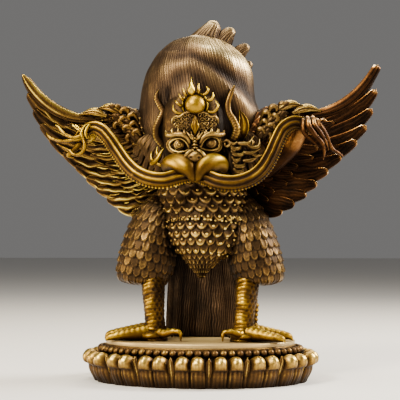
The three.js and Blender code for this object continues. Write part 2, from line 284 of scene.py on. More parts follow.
# Finishes
def brass(name, colours, rough, grain=0.35, metal=(0.86, 1.0), sheen=0.3):
    """Antique brass: dark patina in the hollows, worn bright metal on what stands proud.
    The piece's tone, its edges, its hollows and two noises make one value, which picks the colour."""
    m = bpy.data.materials.new(name)
    m.use_nodes = True
    tree = m.node_tree
    tree.nodes.clear()

    def node(kind, **settings):
        n = tree.nodes.new(kind)
        for key, value in settings.items():
            setattr(n, key, value)
        return n

    def sum_of(kind, a, b, clamp=False):
        n = node("ShaderNodeMath", operation=kind, use_clamp=clamp)
        for socket, value in zip(n.inputs, (a, b)):
            if isinstance(value, (int, float)):
                socket.default_value = value
            else:
                tree.links.new(value, socket)
        return n.outputs[0]

    def between(value, low, high, start=0.0, end=1.0):
        n = node("ShaderNodeMapRange")
        tree.links.new(value, n.inputs["Value"])
        for key, number in (("From Min", low), ("From Max", high), ("To Min", start), ("To Max", end)):
            n.inputs[key].default_value = number
        return n.outputs["Result"]

    place = node("ShaderNodeTexCoord").outputs["Object"]

    def noise(scale, detail):
        n = node("ShaderNodeTexNoise")
        tree.links.new(place, n.inputs["Vector"])
        n.inputs["Scale"].default_value = scale
        n.inputs["Detail"].default_value = detail
        n.inputs["Roughness"].default_value = 0.55
        return n.outputs["Fac"]

    def spread(value, amount):
        return sum_of("MULTIPLY", sum_of("SUBTRACT", value, 0.5), amount)

    tone = node("ShaderNodeAttribute", attribute_name="tone").outputs["Fac"]
    edge = between(node("ShaderNodeNewGeometry").outputs["Pointiness"], 0.44, 0.58)
    hollow = node("ShaderNodeAmbientOcclusion", samples=6)
    hollow.inputs["Distance"].default_value = 7 * MM
    openness = between(hollow.outputs["AO"], 0.35, 0.95)
    cloud = noise(95.0, 4.0)
    fleck = noise(900.0, 3.0)
    # The tone brings painted light and shade as well as wear; with the edges, hollows and noises it picks the
    # colour.
    wear_and_painted_light = sum_of("MULTIPLY", tone, 0.85)
    wear_and_painted_light = sum_of("ADD", wear_and_painted_light, sum_of("MULTIPLY", edge, 0.35))
    wear_and_painted_light = sum_of("ADD", wear_and_painted_light, spread(cloud, 0.55))
    wear_and_painted_light = sum_of("ADD", wear_and_painted_light, spread(fleck, grain))
    wear_and_painted_light = sum_of("SUBTRACT", wear_and_painted_light, 0.12)
    wear_and_painted_light = sum_of("MULTIPLY", wear_and_painted_light, sum_of("POWER", openness, 0.8), clamp=True)

    ramp = node("ShaderNodeValToRGB")
    stops = ramp.color_ramp.elements
    for k, (where, colour) in enumerate(colours):
        stop = stops[k] if k < 2 else stops.new(where)
        stop.position = where
        stop.color = (*colour, 1)
    tree.links.new(wear_and_painted_light, ramp.inputs["Fac"])

    shader = node("ShaderNodeBsdfPrincipled")
    tree.links.new(ramp.outputs["Color"], shader.inputs["Base Color"])
    tree.links.new(between(wear_and_painted_light, 0.1, 0.7, *metal), shader.inputs["Metallic"])
    shader.inputs["Specular IOR Level"].default_value = sheen
    roughness = sum_of("ADD", between(wear_and_painted_light, 0.05, 0.85, *rough), spread(fleck, 0.22), clamp=True)
    tree.links.new(roughness, shader.inputs["Roughness"])

    bump = node("ShaderNodeBump")
    bump.inputs["Strength"].default_value = 0.22
    bump.inputs["Distance"].default_value = 0.25 * MM
    fine, coarse = sum_of("MULTIPLY", noise(2200.0, 2.0), 0.6), sum_of("MULTIPLY", noise(480.0, 3.0), 0.9)
    tree.links.new(sum_of("ADD", fine, coarse), bump.inputs["Height"])
    tree.links.new(bump.outputs["Normal"], shader.inputs["Normal"])
    tree.links.new(shader.outputs[0], node("ShaderNodeOutputMaterial").inputs["Surface"])
    return m


BODY = brass("antique_brass", [
    (0.00, (0.007, 0.004, 0.002)),
    (0.35, (0.052, 0.028, 0.010)),
    (0.62, (0.21, 0.122, 0.032)),
    (1.00, (0.84, 0.60, 0.13)),
], rough=(0.56, 0.33))

# A darker, redder copy of the wing brass, painted as shade, for the right wing, shoulder, arm and hand.
FEATHER_WARM_PAINTED_SHADE = brass("wing_brass_warm_painted_shade", [
    (0.00, (0.004, 0.002, 0.001)),
    (0.40, (0.034, 0.013, 0.004)),
    (0.66, (0.17, 0.072, 0.018)),
    (0.84, (0.50, 0.27, 0.07)),
    (1.00, (0.95, 0.76, 0.48)),
], rough=(0.55, 0.34), grain=0.25, metal=(0.9, 1.0), sheen=0.15)

# A lighter, yellower copy of the wing brass, painted as lit, for the left wing, shoulder and curls, and the
# horns.
FEATHER_GOLD_PAINTED_LIGHT = brass("wing_brass_gold_painted_light", [
    (0.00, (0.006, 0.003, 0.001)),
    (0.36, (0.055, 0.028, 0.009)),
    (0.66, (0.24, 0.132, 0.024)),
    (1.00, (0.97, 0.72, 0.11)),
], rough=(0.52, 0.30), grain=0.18, metal=(0.9, 1.0), sheen=0.25)

HAIR = brass("hair_brass", [
    (0.00, (0.010, 0.006, 0.004)),
    (0.30, (0.055, 0.032, 0.016)),
    (0.60, (0.19, 0.120, 0.051)),
    (1.00, (0.78, 0.60, 0.28)),
], rough=(0.55, 0.34), grain=0.2, metal=(0.9, 1.0), sheen=0.2)

GOLD = brass("worn_gold", [
    (0.00, (0.012, 0.005, 0.001)),
    (0.30, (0.095, 0.046, 0.004)),
    (0.60, (0.40, 0.235, 0.012)),
    (1.00, (0.96, 0.74, 0.05)),
], rough=(0.52, 0.33), grain=0.16)

TAIL = brass("tail_brass", [
    (0.00, (0.004, 0.0025, 0.0015)),
    (0.35, (0.028, 0.017, 0.010)),
    (0.65, (0.090, 0.054, 0.029)),
    (1.00, (0.32, 0.20, 0.10)),
], rough=(0.60, 0.42))

PETAL = brass("petal_brass", [
    (0.00, (0.008, 0.004, 0.002)),
    (0.32, (0.085, 0.042, 0.012)),
    (0.62, (0.37, 0.225, 0.044)),
    (1.00, (0.92, 0.67, 0.15)),
], rough=(0.54, 0.32))

PLATE = brass("plate_brass", [
    (0.00, (0.06, 0.038, 0.018)),
    (0.35, (0.32, 0.22, 0.10)),
    (0.65, (0.48, 0.335, 0.125)),
    (1.00, (0.68, 0.49, 0.20)),
], rough=(0.50, 0.36), grain=0.15, metal=(0.3, 0.55))


# Pieces of the scene
def finished(ob, finish, stands_for=None):
    """Gives a piece its finish, rides it on the one body, and hides the CAD node it stands for."""
    ob.data.materials.clear()
    ob.data.materials.append(finish)
    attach(ob, "root")
    if stands_for:
        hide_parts(stands_for)
    return ob


def piece(name, shells, finish, stands_for=None):
    """Makes one object from closed shells, with their tones as an attribute."""
    verts, faces, tones, start = [], [], [], 0
    for v, quads, caps, t in shells:
        verts.append(v * MM)
        tones.append(t)
        faces += (quads + start).tolist() + (caps + start).tolist()
        start += len(v)
    mesh = bpy.data.meshes.new(name)
    mesh.from_pydata(np.concatenate(verts).tolist(), [], faces)
    mesh.polygons.foreach_set("use_smooth", [True] * len(mesh.polygons))
    values = mesh.attributes.new("tone", "FLOAT", "POINT")
    values.data.foreach_set("value", np.concatenate(tones).astype(np.float32))
    mesh.update()
    ob = bpy.data.objects.new(name, mesh)
    bpy.context.scene.collection.objects.link(ob)
    return finished(ob, finish, stands_for)


def clear_hand():
    """An operator acts on all that is selected, so nothing is before a piece is modelled by hand."""
    bpy.ops.object.select_all(action="DESELECT")


def stretch_in_edit(factors):
    """Stretches the whole mesh that was just added."""
    bpy.ops.object.mode_set(mode="EDIT")
    bpy.ops.mesh.select_all(action="SELECT")
    bpy.ops.transform.resize(value=factors)
    bpy.ops.object.mode_set(mode="OBJECT")


def round_edges(ob, width, segments, sharper_than=30):
    """Rounds edges that are sharper than an angle in degrees."""
    bevel = ob.modifiers.new("rounded edges", "BEVEL")
    bevel.width = width * MM
    bevel.segments = segments
    bevel.limit_method = "ANGLE"
    bevel.angle_limit = math.radians(sharper_than)
    bpy.ops.object.modifier_apply(modifier=bevel.name)


def modelled(name, finish, tone=0.6):
    """Finishes the object that was just modelled by hand: places its mesh and gives it its tone."""
    ob = bpy.context.object
    ob.name = ob.data.name = name
    bpy.ops.object.transform_apply(location=True, rotation=True, scale=True)
    bpy.ops.object.shade_smooth_by_angle(angle=math.radians(40))
    values = ob.data.attributes.new("tone", "FLOAT", "POINT")
    values.data.foreach_set("value", np.full(len(ob.data.vertices), tone, np.float32))
    return finished(ob, finish)


def shell_of_last(tone):
    """Takes the object that was just modelled as a shell to copy, and removes it."""
    ob = bpy.context.object
    mesh = ob.data
    verts = np.empty(len(mesh.vertices) * 3)
    mesh.vertices.foreach_get("co", verts)
    quads = np.array([p.vertices[:] for p in mesh.polygons if len(p.vertices) == 4], int).reshape(-1, 4)
    caps = np.array([p.vertices[:] for p in mesh.polygons if len(p.vertices) == 3], int).reshape(-1, 3)
    bpy.data.objects.remove(ob)
    return verts.reshape(-1, 3), quads, caps, np.full(len(verts) // 3, tone)


def grain_of_metal(radius, segments, rings, stretch, tone):
    """A small ball, a little out of round, modelled by hand as a shell to copy."""
    clear_hand()
    bpy.ops.mesh.primitive_uv_sphere_add(segments=segments, ring_count=rings, radius=radius)
    stretch_in_edit(stretch)
    return shell_of_last(tone)


# Lotus base: a plate over a row of beads, in a ring of petals
PLATE_LONG, PLATE_SHORT, PLATE_THICK = 52.6, 37.0, 2.6
BASE_HEIGHT = 22.5
LIP_WIDE, LIP_DEEP = 1.1, 0.12
BEADS, BEAD_RADIUS = 68, 2.2
PETAL_PAIRS, PAIR_SHIFT = 17, 0.3
LOBES, LOBE_HALF = (0.3, 0.7), 0.205
RIBS, FLUTES = 9, 13

# How far the petals stand out from the plate's edge, and how high, up the middle of a lobe and up a cleft
LOBE_OUTLINE = [
    (6.2, 0), (6.9, 1.6), (8.3, 4.0), (9.4, 6.6), (9.6, 8.6), (10.4, 9.6), (12.2, 10.4), (13.0, 12.4),
    (12.7, 14.5), (11.2, 16.3), (8.8, 17.0), (6.2, 16.0), (4.2, 14.6), (2.2, 14.4), (1.0, 15.6),
    (0.8, 17.8), (0.4, 20.2),
]
CLEFT_OUTLINE = [
    (5.2, 0), (5.8, 1.6), (6.6, 4.0), (7.0, 6.0), (7.0, 7.4), (6.9, 8.2), (6.8, 9.0), (6.6, 9.8),
    (6.3, 10.6), (5.8, 11.2), (5.2, 11.8), (4.4, 12.6), (3.4, 13.4), (2.0, 14.2), (1.0, 15.6),
    (0.8, 17.8), (0.4, 20.2),
]


def oval_turns(count, reach=12.0):
    """Turns of the oval that are evenly spaced along an edge, which is the petals' own if none is given."""
    turn = np.linspace(0, TAU, 2001)
    edge = np.stack([(PLATE_LONG + reach) * np.cos(turn), (PLATE_SHORT + reach) * np.sin(turn)], 1)
    s = length_along(edge)
    return np.interp(np.arange(count) / count * s[-1], s, turn)


def oval_grid(reach, height, turns):
    """Points outside the plate's edge by `reach`, at a height."""
    x = (PLATE_LONG + reach) * np.cos(turns)
    y = (PLATE_SHORT + reach) * np.sin(turns)
    return np.stack([x, y, np.broadcast_to(height, x.shape)], -1)


def petals():
    """Petals in pairs of round rolled lobes, over ribbed bodies, with a gap between one pair and the next."""
    rows, per_pair = 62, 40
    cols = PETAL_PAIRS * per_pair
    v = np.linspace(0, 1, rows)

    def outline(points):
        reach, height = zip(*points)
        return np.stack([spline(reach, v), spline(height, v)], -1)[:, None]

    within = (np.arange(cols) / per_pair - PAIR_SHIFT) % 1.0
    across = np.minimum(np.abs(within - LOBES[0]), np.abs(within - LOBES[1])) / LOBE_HALF
    full = np.sqrt(clamp(1 - across ** 2))[None] ** 0.8
    lobe, cleft = outline(LOBE_OUTLINE), outline(CLEFT_OUTLINE)
    at = cleft + (lobe - cleft) * full[..., None]

    v = v[:, None]
    uneven = mottle(within * 40, v * 6, 2)
    ribs = np.cos(TAU * within * RIBS + 0.5 * uneven) * (0.6 + 0.4 * uneven)
    flutes = np.sin(TAU * within * FLUTES)
    body = clamp((0.22 - np.abs(v - 0.13)) / 0.1)
    # `under` is painted shade below the rolled lip.
    under = hump(v - 0.30, 0.05)
    lip = hump(v - 0.52, 0.11)
    bowl = hump(v - 0.68, 0.07)
    reach = at[..., 0] + body * 0.34 * ribs + 0.14 * flutes * (bowl + 0.6 * lip)
    tone = 0.25 + (0.63 + 0.12 * flutes) * lip * full ** 2 + 0.5 * bowl * full
    tone = tone + body * (0.02 + 0.14 * ribs) - 0.12 * under + 0.14 * (v > 0.84)
    return [skin(oval_grid(reach, at[..., 1], oval_turns(cols)[None]), np.clip(tone, 0.02, 1))]


def leaf_points():
    """Pointed leaves stand in the gaps between the pairs of petals."""
    def front(u, t, s, w):
        vein = hump(u, 0.14)
        height = 0.5 * vein + 0.16 * np.sin(s * 4.2 + np.abs(u) * 5) - 0.2
        return height, 0.32 + 0.5 * vein + 0.3 * (np.abs(u) > 0.85)

    reach = np.array([6.4, 7.4, 8.4, 9.2, 8.8])
    height = np.array([6.0, 9.0, 11.6, 14.0, 16.4])
    steps = 20
    shells = []
    for turn in oval_turns(PETAL_PAIRS * steps)[round(PAIR_SHIFT * steps)::steps]:
        outwards = [math.cos(turn) * PLATE_SHORT, math.sin(turn) * PLATE_LONG, 18.0]
        points = oval_grid(reach, height, np.full(len(reach), turn))
        shells.append(leaf(points, [1.3, 2.1, 2.3, 1.5, 0.12], outwards, 0.7, front, rows=14, cols=11))
    return shells


def beads():
    """One bead is modelled by hand, then copied round the groove, each a little different."""
    bead = grain_of_metal(BEAD_RADIUS, segments=14, rings=9, stretch=(0.93, 0.93, 1.0), tone=0.6)
    height = BASE_HEIGHT - PLATE_THICK - BEAD_RADIUS - 0.1
    shells = []
    for turn in oval_turns(BEADS, 2.9):
        size = chance.uniform(0.95, 1.0)
        brightness = chance.uniform(0.30, 0.58)
        shells.append(copied(bead, size, oval_grid(2.75, height, np.array(turn)), brightness))
    return shells


def top_plate():
    """A disc is stretched to the oval, its top is inset for the lip, and its edges are rounded."""
    clear_hand()
    middle = (0, 0, (BASE_HEIGHT - PLATE_THICK / 2) * MM)
    bpy.ops.mesh.primitive_cylinder_add(vertices=192, radius=1, depth=1, location=middle)
    ob = bpy.context.object
    ob.scale = (PLATE_LONG * MM, PLATE_SHORT * MM, PLATE_THICK * MM)
    bpy.ops.object.transform_apply(location=True, rotation=True, scale=True)
    bpy.ops.object.mode_set(mode="EDIT")
    bpy.ops.mesh.select_all(action="DESELECT")
    bpy.ops.object.mode_set(mode="OBJECT")
    for face in ob.data.polygons:
        face.select = face.normal.z > 0.9
    bpy.ops.object.mode_set(mode="EDIT")
    bpy.ops.mesh.inset(thickness=LIP_WIDE * MM, depth=0)
    bpy.ops.mesh.inset(thickness=0.35 * MM, depth=-LIP_DEEP * MM)
    for share in (0.86, 0.84, 0.81, 0.77, 0.70, 0.55):
        bpy.ops.mesh.inset(thickness=0.02 * MM, depth=0)
        bpy.ops.transform.resize(value=(share, share, 1))
    bpy.ops.mesh.poke()
    bpy.ops.object.mode_set(mode="OBJECT")
    round_edges(ob, 0.55, 3, sharper_than=40)
    modelled("base_plate", PLATE, tone=0.77)


piece("lotus_petals", petals(), PETAL, stands_for="lotus_base")
piece("lotus_leaf_points", leaf_points(), PETAL)
piece("base_beads", beads(), PETAL)
top_plate()


# Body: cupped scales with a pearl in each, and small pointed feathers on the apron
SCALES_ROUND, SCALE_LONG = 21, 4.7
APRON_TOP, BELLY_BOTTOM, BODY_TOP = 69, 87, 142
BODY_PATH = [
    [2.2, -8.5, 56], [2.0, -7.5, 65], [3.0, -6, 76], [3.8, -3.5, 87], [2.2, -1.5, 99],
    [0, 0.5, 112], [0, 2, 128], [0, 2, BODY_TOP],
]
BODY_WIDE = [0.5, 8, 18.6, 21.6, 23.4, 24, 22, 15]
BODY_DEEP = [0.5, 7, 14.6, 17, 17.5, 17, 15, 12]
BELT_HEIGHTS, PEARLS_IN_BELT = (88.6, 90.2), 44
PEARL_RADIUS = 0.92


def body_rows(z):
    """How many rows of scales lie below a height; they are smaller on the apron and the belly."""
    rows = [0, 4.8, 9.0, 9.0 + (BODY_TOP - BELLY_BOTTOM) / SCALE_LONG]
    return np.interp(z, [57, APRON_TOP, BELLY_BOTTOM, BODY_TOP], rows)


def body_relief(turn, s, p):
    """Plump scales with thick rolled rims, painted brighter on the belly as a pool of light, over the apron's
    pointed feathers.
    """
    z = p[..., 2]
    apron = clamp((70 - z) / 4)

    def edge(x):
        return 0.85 * (1 - np.sqrt(clamp(1 - x ** 2))) * (1 - apron) + 0.95 * x * apron

    u = turn / TAU * SCALES_ROUND
    x, d, row = overlapping(u, body_rows(z), edge)
    uneven = each_differs(row, u - x)
    centre = clamp(1 - (1.9 * x) ** 2)
    rim = hump(d - 0.20, 0.12 + 0.14 * centre)
    dome = np.sqrt(centre) * hump(d - 0.5, 0.5)
    barb = 0.5 + 0.5 * np.cos(TAU * (5 * np.abs(x) + 1.6 * d))
    rise = clamp(d / 0.14)
    height = rise * (1.2 * (1 - d / 2.2) + 0.7 * rim * (0.5 + 0.5 * centre + 0.3 * uneven))
    height = height + (1.1 * dome - 0.2 * hump(d - 0.8, 0.2)) * (1 - apron)
    height = height + apron * 0.4 * hump(x, 0.07) - 1.0
    # A painted pool of light on the belly, strongest left of the middle.
    belly_painted_light = hump(z - 79, 8.5) * (0.25 + 0.75 * hump(p[..., 0] + 5, 11))
    tone = 0.19 + (0.06 + 0.26 * centre + 0.30 * belly_painted_light * (0.3 + 0.7 * centre) + 0.14 * uneven) * rim
    tone = tone + 0.12 * dome * (1 - apron) + 0.04 * barb + apron * (0.10 + 0.2 * hump(x, 0.08))
    return height, clamp(tone - 0.10 * hump(d - 0.02, 0.06))


def body_pearls(body):
    """A pearl in the cup of each scale, and a belt of two rows of pearls above the belly."""
    places = []
    for row in range(5, 22):
        size = 0.95 if row < 9 else 0.85
        for k in range(SCALES_ROUND):
            places.append(((k - 0.5 * (row % 2)) / SCALES_ROUND, row + 0.62, size))
    for k in range(PEARLS_IN_BELT):
        places.append(((k + 0.5) / PEARLS_IN_BELT, body_rows(BELT_HEIGHTS[0]), 0.8))
        places.append(((k + 0.1) / PEARLS_IN_BELT, body_rows(BELT_HEIGHTS[1]), 0.62))

    pearl = grain_of_metal(PEARL_RADIUS, segments=8, rings=6, stretch=(1.0, 1.0, 0.94), tone=0.85)
    out = face_normals(body)
    rows_up = body_rows(body[:, 0, 2])
    shells = []
    for share, height, size in places:
        row = int(np.argmin(np.abs(rows_up - height)))
        col = int(round(share % 1 * body.shape[1])) % body.shape[1]
        at = body[row, col] + out[row, col] * 0.3
        in_shade = at[0] < -4 or at[2] > 92
        shells.append(copied(pearl, size, at, 0.7 if in_shade else 1.0))
    return shells


body, body_tone = loft(BODY_PATH, BODY_WIDE, BODY_DEEP, cols=15 * SCALES_ROUND, rows=156,
                       relief=body_relief, blunt=(2, 6))
piece("body_scales", [skin(body, body_tone)], BODY, stands_for="garuda_figure")
piece("body_pearls", body_pearls(body), BODY)


# Legs: worked out on the right; `shift` brings the left one inwards
PLATES_ROUND, THIGH_PLATE = 21, 4.7
SHIN_SCALES, SHIN_SCALE, SHIN_RING = 13, 2.3, 1.9


def scale_edge(bow):
    """The free edge of a scale, bowed like a parabola."""
    return lambda x: bow * x ** 2


def thigh_relief(turn, s):
    """Overlapping plates with rounded ends, each a little different, with dark gaps between them."""
    u = turn / TAU * PLATES_ROUND
    x, d, row = overlapping(u, s / THIGH_PLATE, scale_edge(0.5))
    pick = 0.5 * each_differs(row, u - x)
    rim = hump(d - 0.09, 0.08)
    gap = hump(np.abs(x) - 0.5, 0.085)
    fine = 0.5 + 0.5 * np.cos(TAU * (4 * np.abs(x) - 1.5 * d))
    rise = clamp(d / 0.09)
    height = rise * ((1.35 + 0.35 * pick) * (1 - d / 1.5) + 0.14 * rim)
    height = height - 0.55 * gap + 0.35 * x * pick - 0.8
    # The hidden upper part of each plate, under the row above, is painted darker as shade.
    tone = 0.30 + 0.17 * rim + 0.08 * fine + 0.24 * pick - 0.30 * gap - 0.2 * clamp((d - 0.8) / 0.3)
    return height, clamp(tone + 0.07 * mottle(x * 9, d * 9, 17))


def thigh(lit=0.0, inward=0.0):
    """A feathered thigh that hangs over the leg, painted darker as shade on its inner lower side; `lit` adds
    painted light to a copy.
    """
    path = np.array([
        [14, 5, 104], [19, 3.5, 97], [24.3, 1, 88], [28, -0.5, 77], [30.2, -1, 66], [32.5, -1, 57],
        [33.5, -1, 52],
    ])
    path[:, 0] -= inward
    wide = np.array([5, 9.4, 12.2, 13.8, 14.8, 13.6, 11.8]) + inward
    deep = [5, 9.5, 12.8, 15.2, 15, 13, 10.5]

    def relief(turn, s, p):
        height, tone = thigh_relief(turn, s.max() - s)
        narrower = clamp(s / s.max()) * 1.2 * np.sin(turn)
        shade = clamp((26 - p[..., 0]) / 9) * clamp((88 - p[..., 2]) / 16)
        return height - narrower, clamp(tone + lit - 0.24 * shade)

    return [tube(path, wide, deep, cols=10 * PLATES_ROUND, rows=112, relief=relief, blunt=(3, 3))]


def shin(shift, lean, lit=0.0):
    """A leg with uneven rings in front, small scales behind, and a fringed spur along its back."""
    def relief(turn, s, p):
        # Rings stand in front; the front is also painted brighter and the sides and back darker, as light and
        # shade. `lean` turns the lit front, and `lit` shifts one leg's painted light.
        front = clamp(1.2 - np.abs(turn + lean) / 0.8)
        uneven = mottle(s * 0.9, turn * 1.5, 12)
        ring = ridges(s, SHIN_RING, 0.7, 0.7 * uneven)
        x, d, row = overlapping(turn / TAU * SHIN_SCALES, s / SHIN_SCALE, scale_edge(0.6))
        height = front * (0.42 * ring - 0.3 + 0.3 * uneven) + (1 - front) * (0.55 * (1 - d) - 0.3)
        tone = front * (0.20 + 0.26 * ring + 0.26 * uneven) + (1 - front) * (0.02 + 0.12 * (1 - d))
        return height, clamp(tone) + lit

    def fringe(turn, s, p):
        saw = np.sin(s * 2.4 - 1.2 * np.abs(np.sin(turn)))
        return 0.35 * saw, 0.28 + 0.25 * saw

    leg = [
        [27.5 - 0.6 * shift, -3, 60], [27 - shift, -10, 48], [26 - shift, -12, 36],
        [25.4 - 0.9 * shift, -12, 28], [25.4 - 0.7 * shift, -12, 22.6],
    ]
    spur = [
        [30 - shift, -5.5, 48], [31 - shift, -5.5, 42], [30.5 - shift, -5.5, 35],
        [30.5 - shift, -5.0, 28], [32 - shift, -3.6, 22.8],
    ]
    return [
        tube(leg, [6.6, 6.1, 5.4, 6.0, 7.4], [6.4, 5.8, 5, 5.8, 7.5], cols=64, rows=98, relief=relief),
        tube(spur, [0.6, 2.2, 2.2, 2.6, 2.6], [0.8, 1.8, 1.8, 2.4, 2.4], cols=14, rows=44, relief=fringe),
    ]


def toe(path, thick):
    """A toe with rings over its upper side and a smooth claw."""
    def relief(turn, s, p):
        end = s.max()
        ring = ridges(s, 2.9, 0.7)
        upper = clamp(np.cos(turn) * 1.5 - 0.2)
        claw = clamp((s - end * 0.8) / (end * 0.05))
        height = (0.4 * ring - 0.25) * upper * (1 - claw)
        tone = (0.36 + 0.34 * ring * upper) * (1 - claw) + 0.42 * claw
        return height, tone + 0.1 * mottle(turn * 2, s * 0.8, 31)

    wide = [thick * 1.4, thick * 1.12, thick * 0.92, thick * 0.74, thick * 0.5, 0.35]
    deep = [thick * 1.4, thick * 1.1, thick * 0.82, thick * 0.64, thick * 0.45, 0.35]
    return tube(path, wide, deep, facing=(0, 0, 1), cols=20, rows=52, relief=relief, blunt=(2.5, 0))


def foot(shift, talon):
    """Two toes to each side of a low pad; `talon` is the x of the tip of the inner front one."""
    def pad(p):
        x, d, row = overlapping(p[..., 0] / 2.2, p[..., 1] / 1.6, scale_edge(0.6))
        return 0.35 * (1 - d) - 0.2, 0.24 + 0.22 * (1 - d)

    middle = 26 - 0.5 * shift
    outer_front = [[middle + 1, -13, 27.0], [35, -17, 26.2], [42, -19.5, 25.4], [47, -21, 24.5],
                   [48.8, -21.5, 22.9]]
    outer_back = [[middle + 2, -10.5, 27.6], [37, -9, 26.8], [45, -8.2, 26.0], [50, -8, 25.0],
                  [52.1, -8, 22.9]]
    inner_front = [[middle - 2, -14, 26.8], [talon + 9, -18.4, 26.6], [talon + 4.6, -20.4, 28.0],
                   [talon + 0.6, -21.2, 27.4], [talon, -21.4, 23]]
    inner_back = [[middle - 2, -9, 26.9], [21, -4, 25.8], [18, 0, 26.0], [16.5, 2, 25.2], [16, 2.6, 23]]
    toes = [toe(outer_front, 3.5), toe(outer_back, 3.6), toe(inner_front, 2.2), toe(inner_back, 2.9)]
    return toes + [ball([middle, -13.4, 25.2], [7.6, 7.0, 3.4], cols=44, rows=20, relief=pad)]


piece("thigh_feathers_right", thigh(), BODY)
piece("thigh_feathers_left", mirrored(thigh(lit=0.05, inward=1.2)), BODY)
piece("leg_right", shin(shift=0.0, lean=-0.35) + foot(shift=0.0, talon=15.2), GOLD)
piece("leg_left", mirrored(shin(shift=2.6, lean=0.5, lit=-0.05) + foot(shift=2.6, talon=7.4)), GOLD)


# Tail: quills side by side down to the plate
TAIL_QUILLS = 16


def tail_quills():
    """A slab of quills with fine barbs, lit from the right."""
    def relief(turn, s, p):
        u = turn / TAU * TAIL_QUILLS + 0.10 * mottle(s * 0.05, turn * 3, 51)
        x = u - np.round(u)
        vein = hump(x, 0.07)
        edge = hump(np.abs(x) - 0.5, 0.08)
        barb = np.sin(turn * 100 + 1.3 * np.sin(s * 0.7 + 4 * u) + 3.0 * mottle(s * 0.12, turn * 8, 52))
        quill = 0.6 * np.sqrt(clamp(1 - (2 * x) ** 2))
        lit = 0.16 * np.clip(p[..., 0] / 12, -1.2, 1)
        tone = 0.31 + 0.06 * vein + 0.16 * barb - 0.12 * edge + 0.17 * mottle(turn * 9, s * 0.15, 5) + lit
        return quill + 0.15 * vein + 0.16 * barb - 0.4, clamp(tone)

    path = [[0, 12, 92], [0, 17, 78], [0, 19.5, 58], [0, 20.5, 38], [0, 21, 22.6]]
    wide, deep = [10, 17, 20.5, 22, 22.5], [5, 5.5, 5, 5, 5.2]
    return [tube(path, wide, deep, cols=396, rows=76, relief=relief, blunt=(3, 0))]


piece("tail_quills", tail_quills(), TAIL)


# Wings: feathers on a curved sheet, plain on the right and painted dark there as shade, with bright wavy
# crests on the left, painted lighter there as lit
QUILLS = 12
WIDEST_FEATHER = 10.0
SHOULDER_SCALES, SHOULDER_SCALE = 13, 4.0
FEATHER_TIPS = [0.04, 0.155, 0.245, 0.325, 0.405, 0.505, 0.595, 0.675, 0.745, 0.82, 0.89, 0.965]
WING_ROOT = [[46, 3, 149], [38, 5, 139], [31, 8, 126], [25, 11, 111], [18, 13, 97]]
WING_RIGHT = dict(
    edge=[[98.6, -10, 176], [97, -9.5, 154], [90.5, -7, 135], [76, -3, 120], [61, 1.5, 103.6],
          [48, 6, 94], [34, 9.5, 88.5]],
    sag=0.84, spread=1.3, taper=0.40, point=0.30, first_point=0.5, base=0.09, hook=0.8, crests=0.0)
WING_LEFT = dict(
    edge=[[99.8, -10, 175], [96.4, -9.5, 155.6], [88.2, -7, 137], [74.8, -3, 121.5], [60.4, 1.5, 105.6],
          [50, 6, 95.6], [38, 9.5, 89]],
    sag=0.88, spread=1.42, taper=0.42, point=0.3, first_point=0.2, base=0.03, hook=2.4, crests=1.0)


def wing_point(wing, share, t):
    """Points of the wing's sheet: `share` from the leading edge down, t from the shoulder out."""
    share = clamp(np.broadcast_to(share, t.shape))
    evenly = np.linspace(0, 1, 400)
    start = line(WING_ROOT, np.interp(share, evenly, even(WING_ROOT, 400)))
    end = line(wing["edge"], np.interp(share, evenly, even(wing["edge"], 400)))
    sag = ((wing["sag"] * (1 - 0.58 * share)) * t * (1 - t))[:, None]
    across = end - start
    swing = np.stack([across[:, 2], np.zeros(len(t)), -across[:, 0]], 1)
    return start + across * t[:, None] + swing * sag


def feather_front(wing, share, first, seed):
    """Barbs and fine lines on a plain feather, with a painted highlight along its tip; wavy crests with
    bright tops on a crested one, worn bright and painted lighter towards the tip and lower down the wing.
    """
    plain, crests = 1 - wing["crests"], wing["crests"]

    def front(u, f, s, w):
        wave = 0.13 * np.sin(s * 0.30 + seed) + 0.07 * np.sin(s * 0.71 + 2 * seed)
        upper = hump(u + 0.88, 0.11)
        lower = hump(u - 0.92, 0.09)
        barb = np.sin(TAU * (s / 2.3 + np.abs(u - 0.1) * w / 2.1) + 0.9 * np.sin(seed + s * 0.4))
        lines = hump(u + 0.5 + 0.3 * wave, 0.07) + hump(u + 0.08 + wave, 0.08) + hump(u - 0.42 + wave, 0.08)
        fade = np.clip(np.sin(math.pi * clamp(f * 1.08)) * 1.6, 0.25, 1) * (1 - first)
        wavy = np.cos(TAU * 1.05 * (u + 0.1 + 0.9 * wave)) * fade + first * (0.8 - (u + 0.3) ** 2)
        ripple = np.cos(TAU * 2.7 * (u + 1.2 * wave) + seed) * fade
        height = 0.34 * upper * (1 - first) + 0.12 * lower + 0.02 * barb
        height = height - 0.26 * lines * plain + crests * (0.62 * wavy + 0.12 * ripple)

        streak = mottle(s * 0.16 + seed, u * 2.6, int(seed * 10))
        # Crest tops are worn bright and also painted lighter towards the tip and lower down the wing.
        bright = clamp(0.42 + 0.58 * wavy + 0.15 * ripple) ** (2.3 - 0.9 * share)
        crest_wear_and_painted_light = bright * (0.35 + 0.65 * f) * crests
        # `end` and `outline` paint a highlight on a plain feather's tip and along the last part of its upper
        # edge.
        end = clamp((f - 0.95) / 0.03)
        outline = end + hump(u + 0.92, 0.09) * clamp((f - 0.75) / 0.2)
        tone = wing["base"] + (0.18 + 0.14 * crests) * upper * (0.3 + 0.7 * f) + 0.08 * lower + 0.03 * barb
        tone = tone + (0.62 + 0.8 * share) * crest_wear_and_painted_light + (0.12 * first + 0.12 * share ** 2) * crests
        tone = tone - (0.09 * lines - 0.6 * outline) * plain
        return height, clamp(tone + (0.21 - 0.05 * crests) * (1 - 0.8 * first) * streak)

    return front


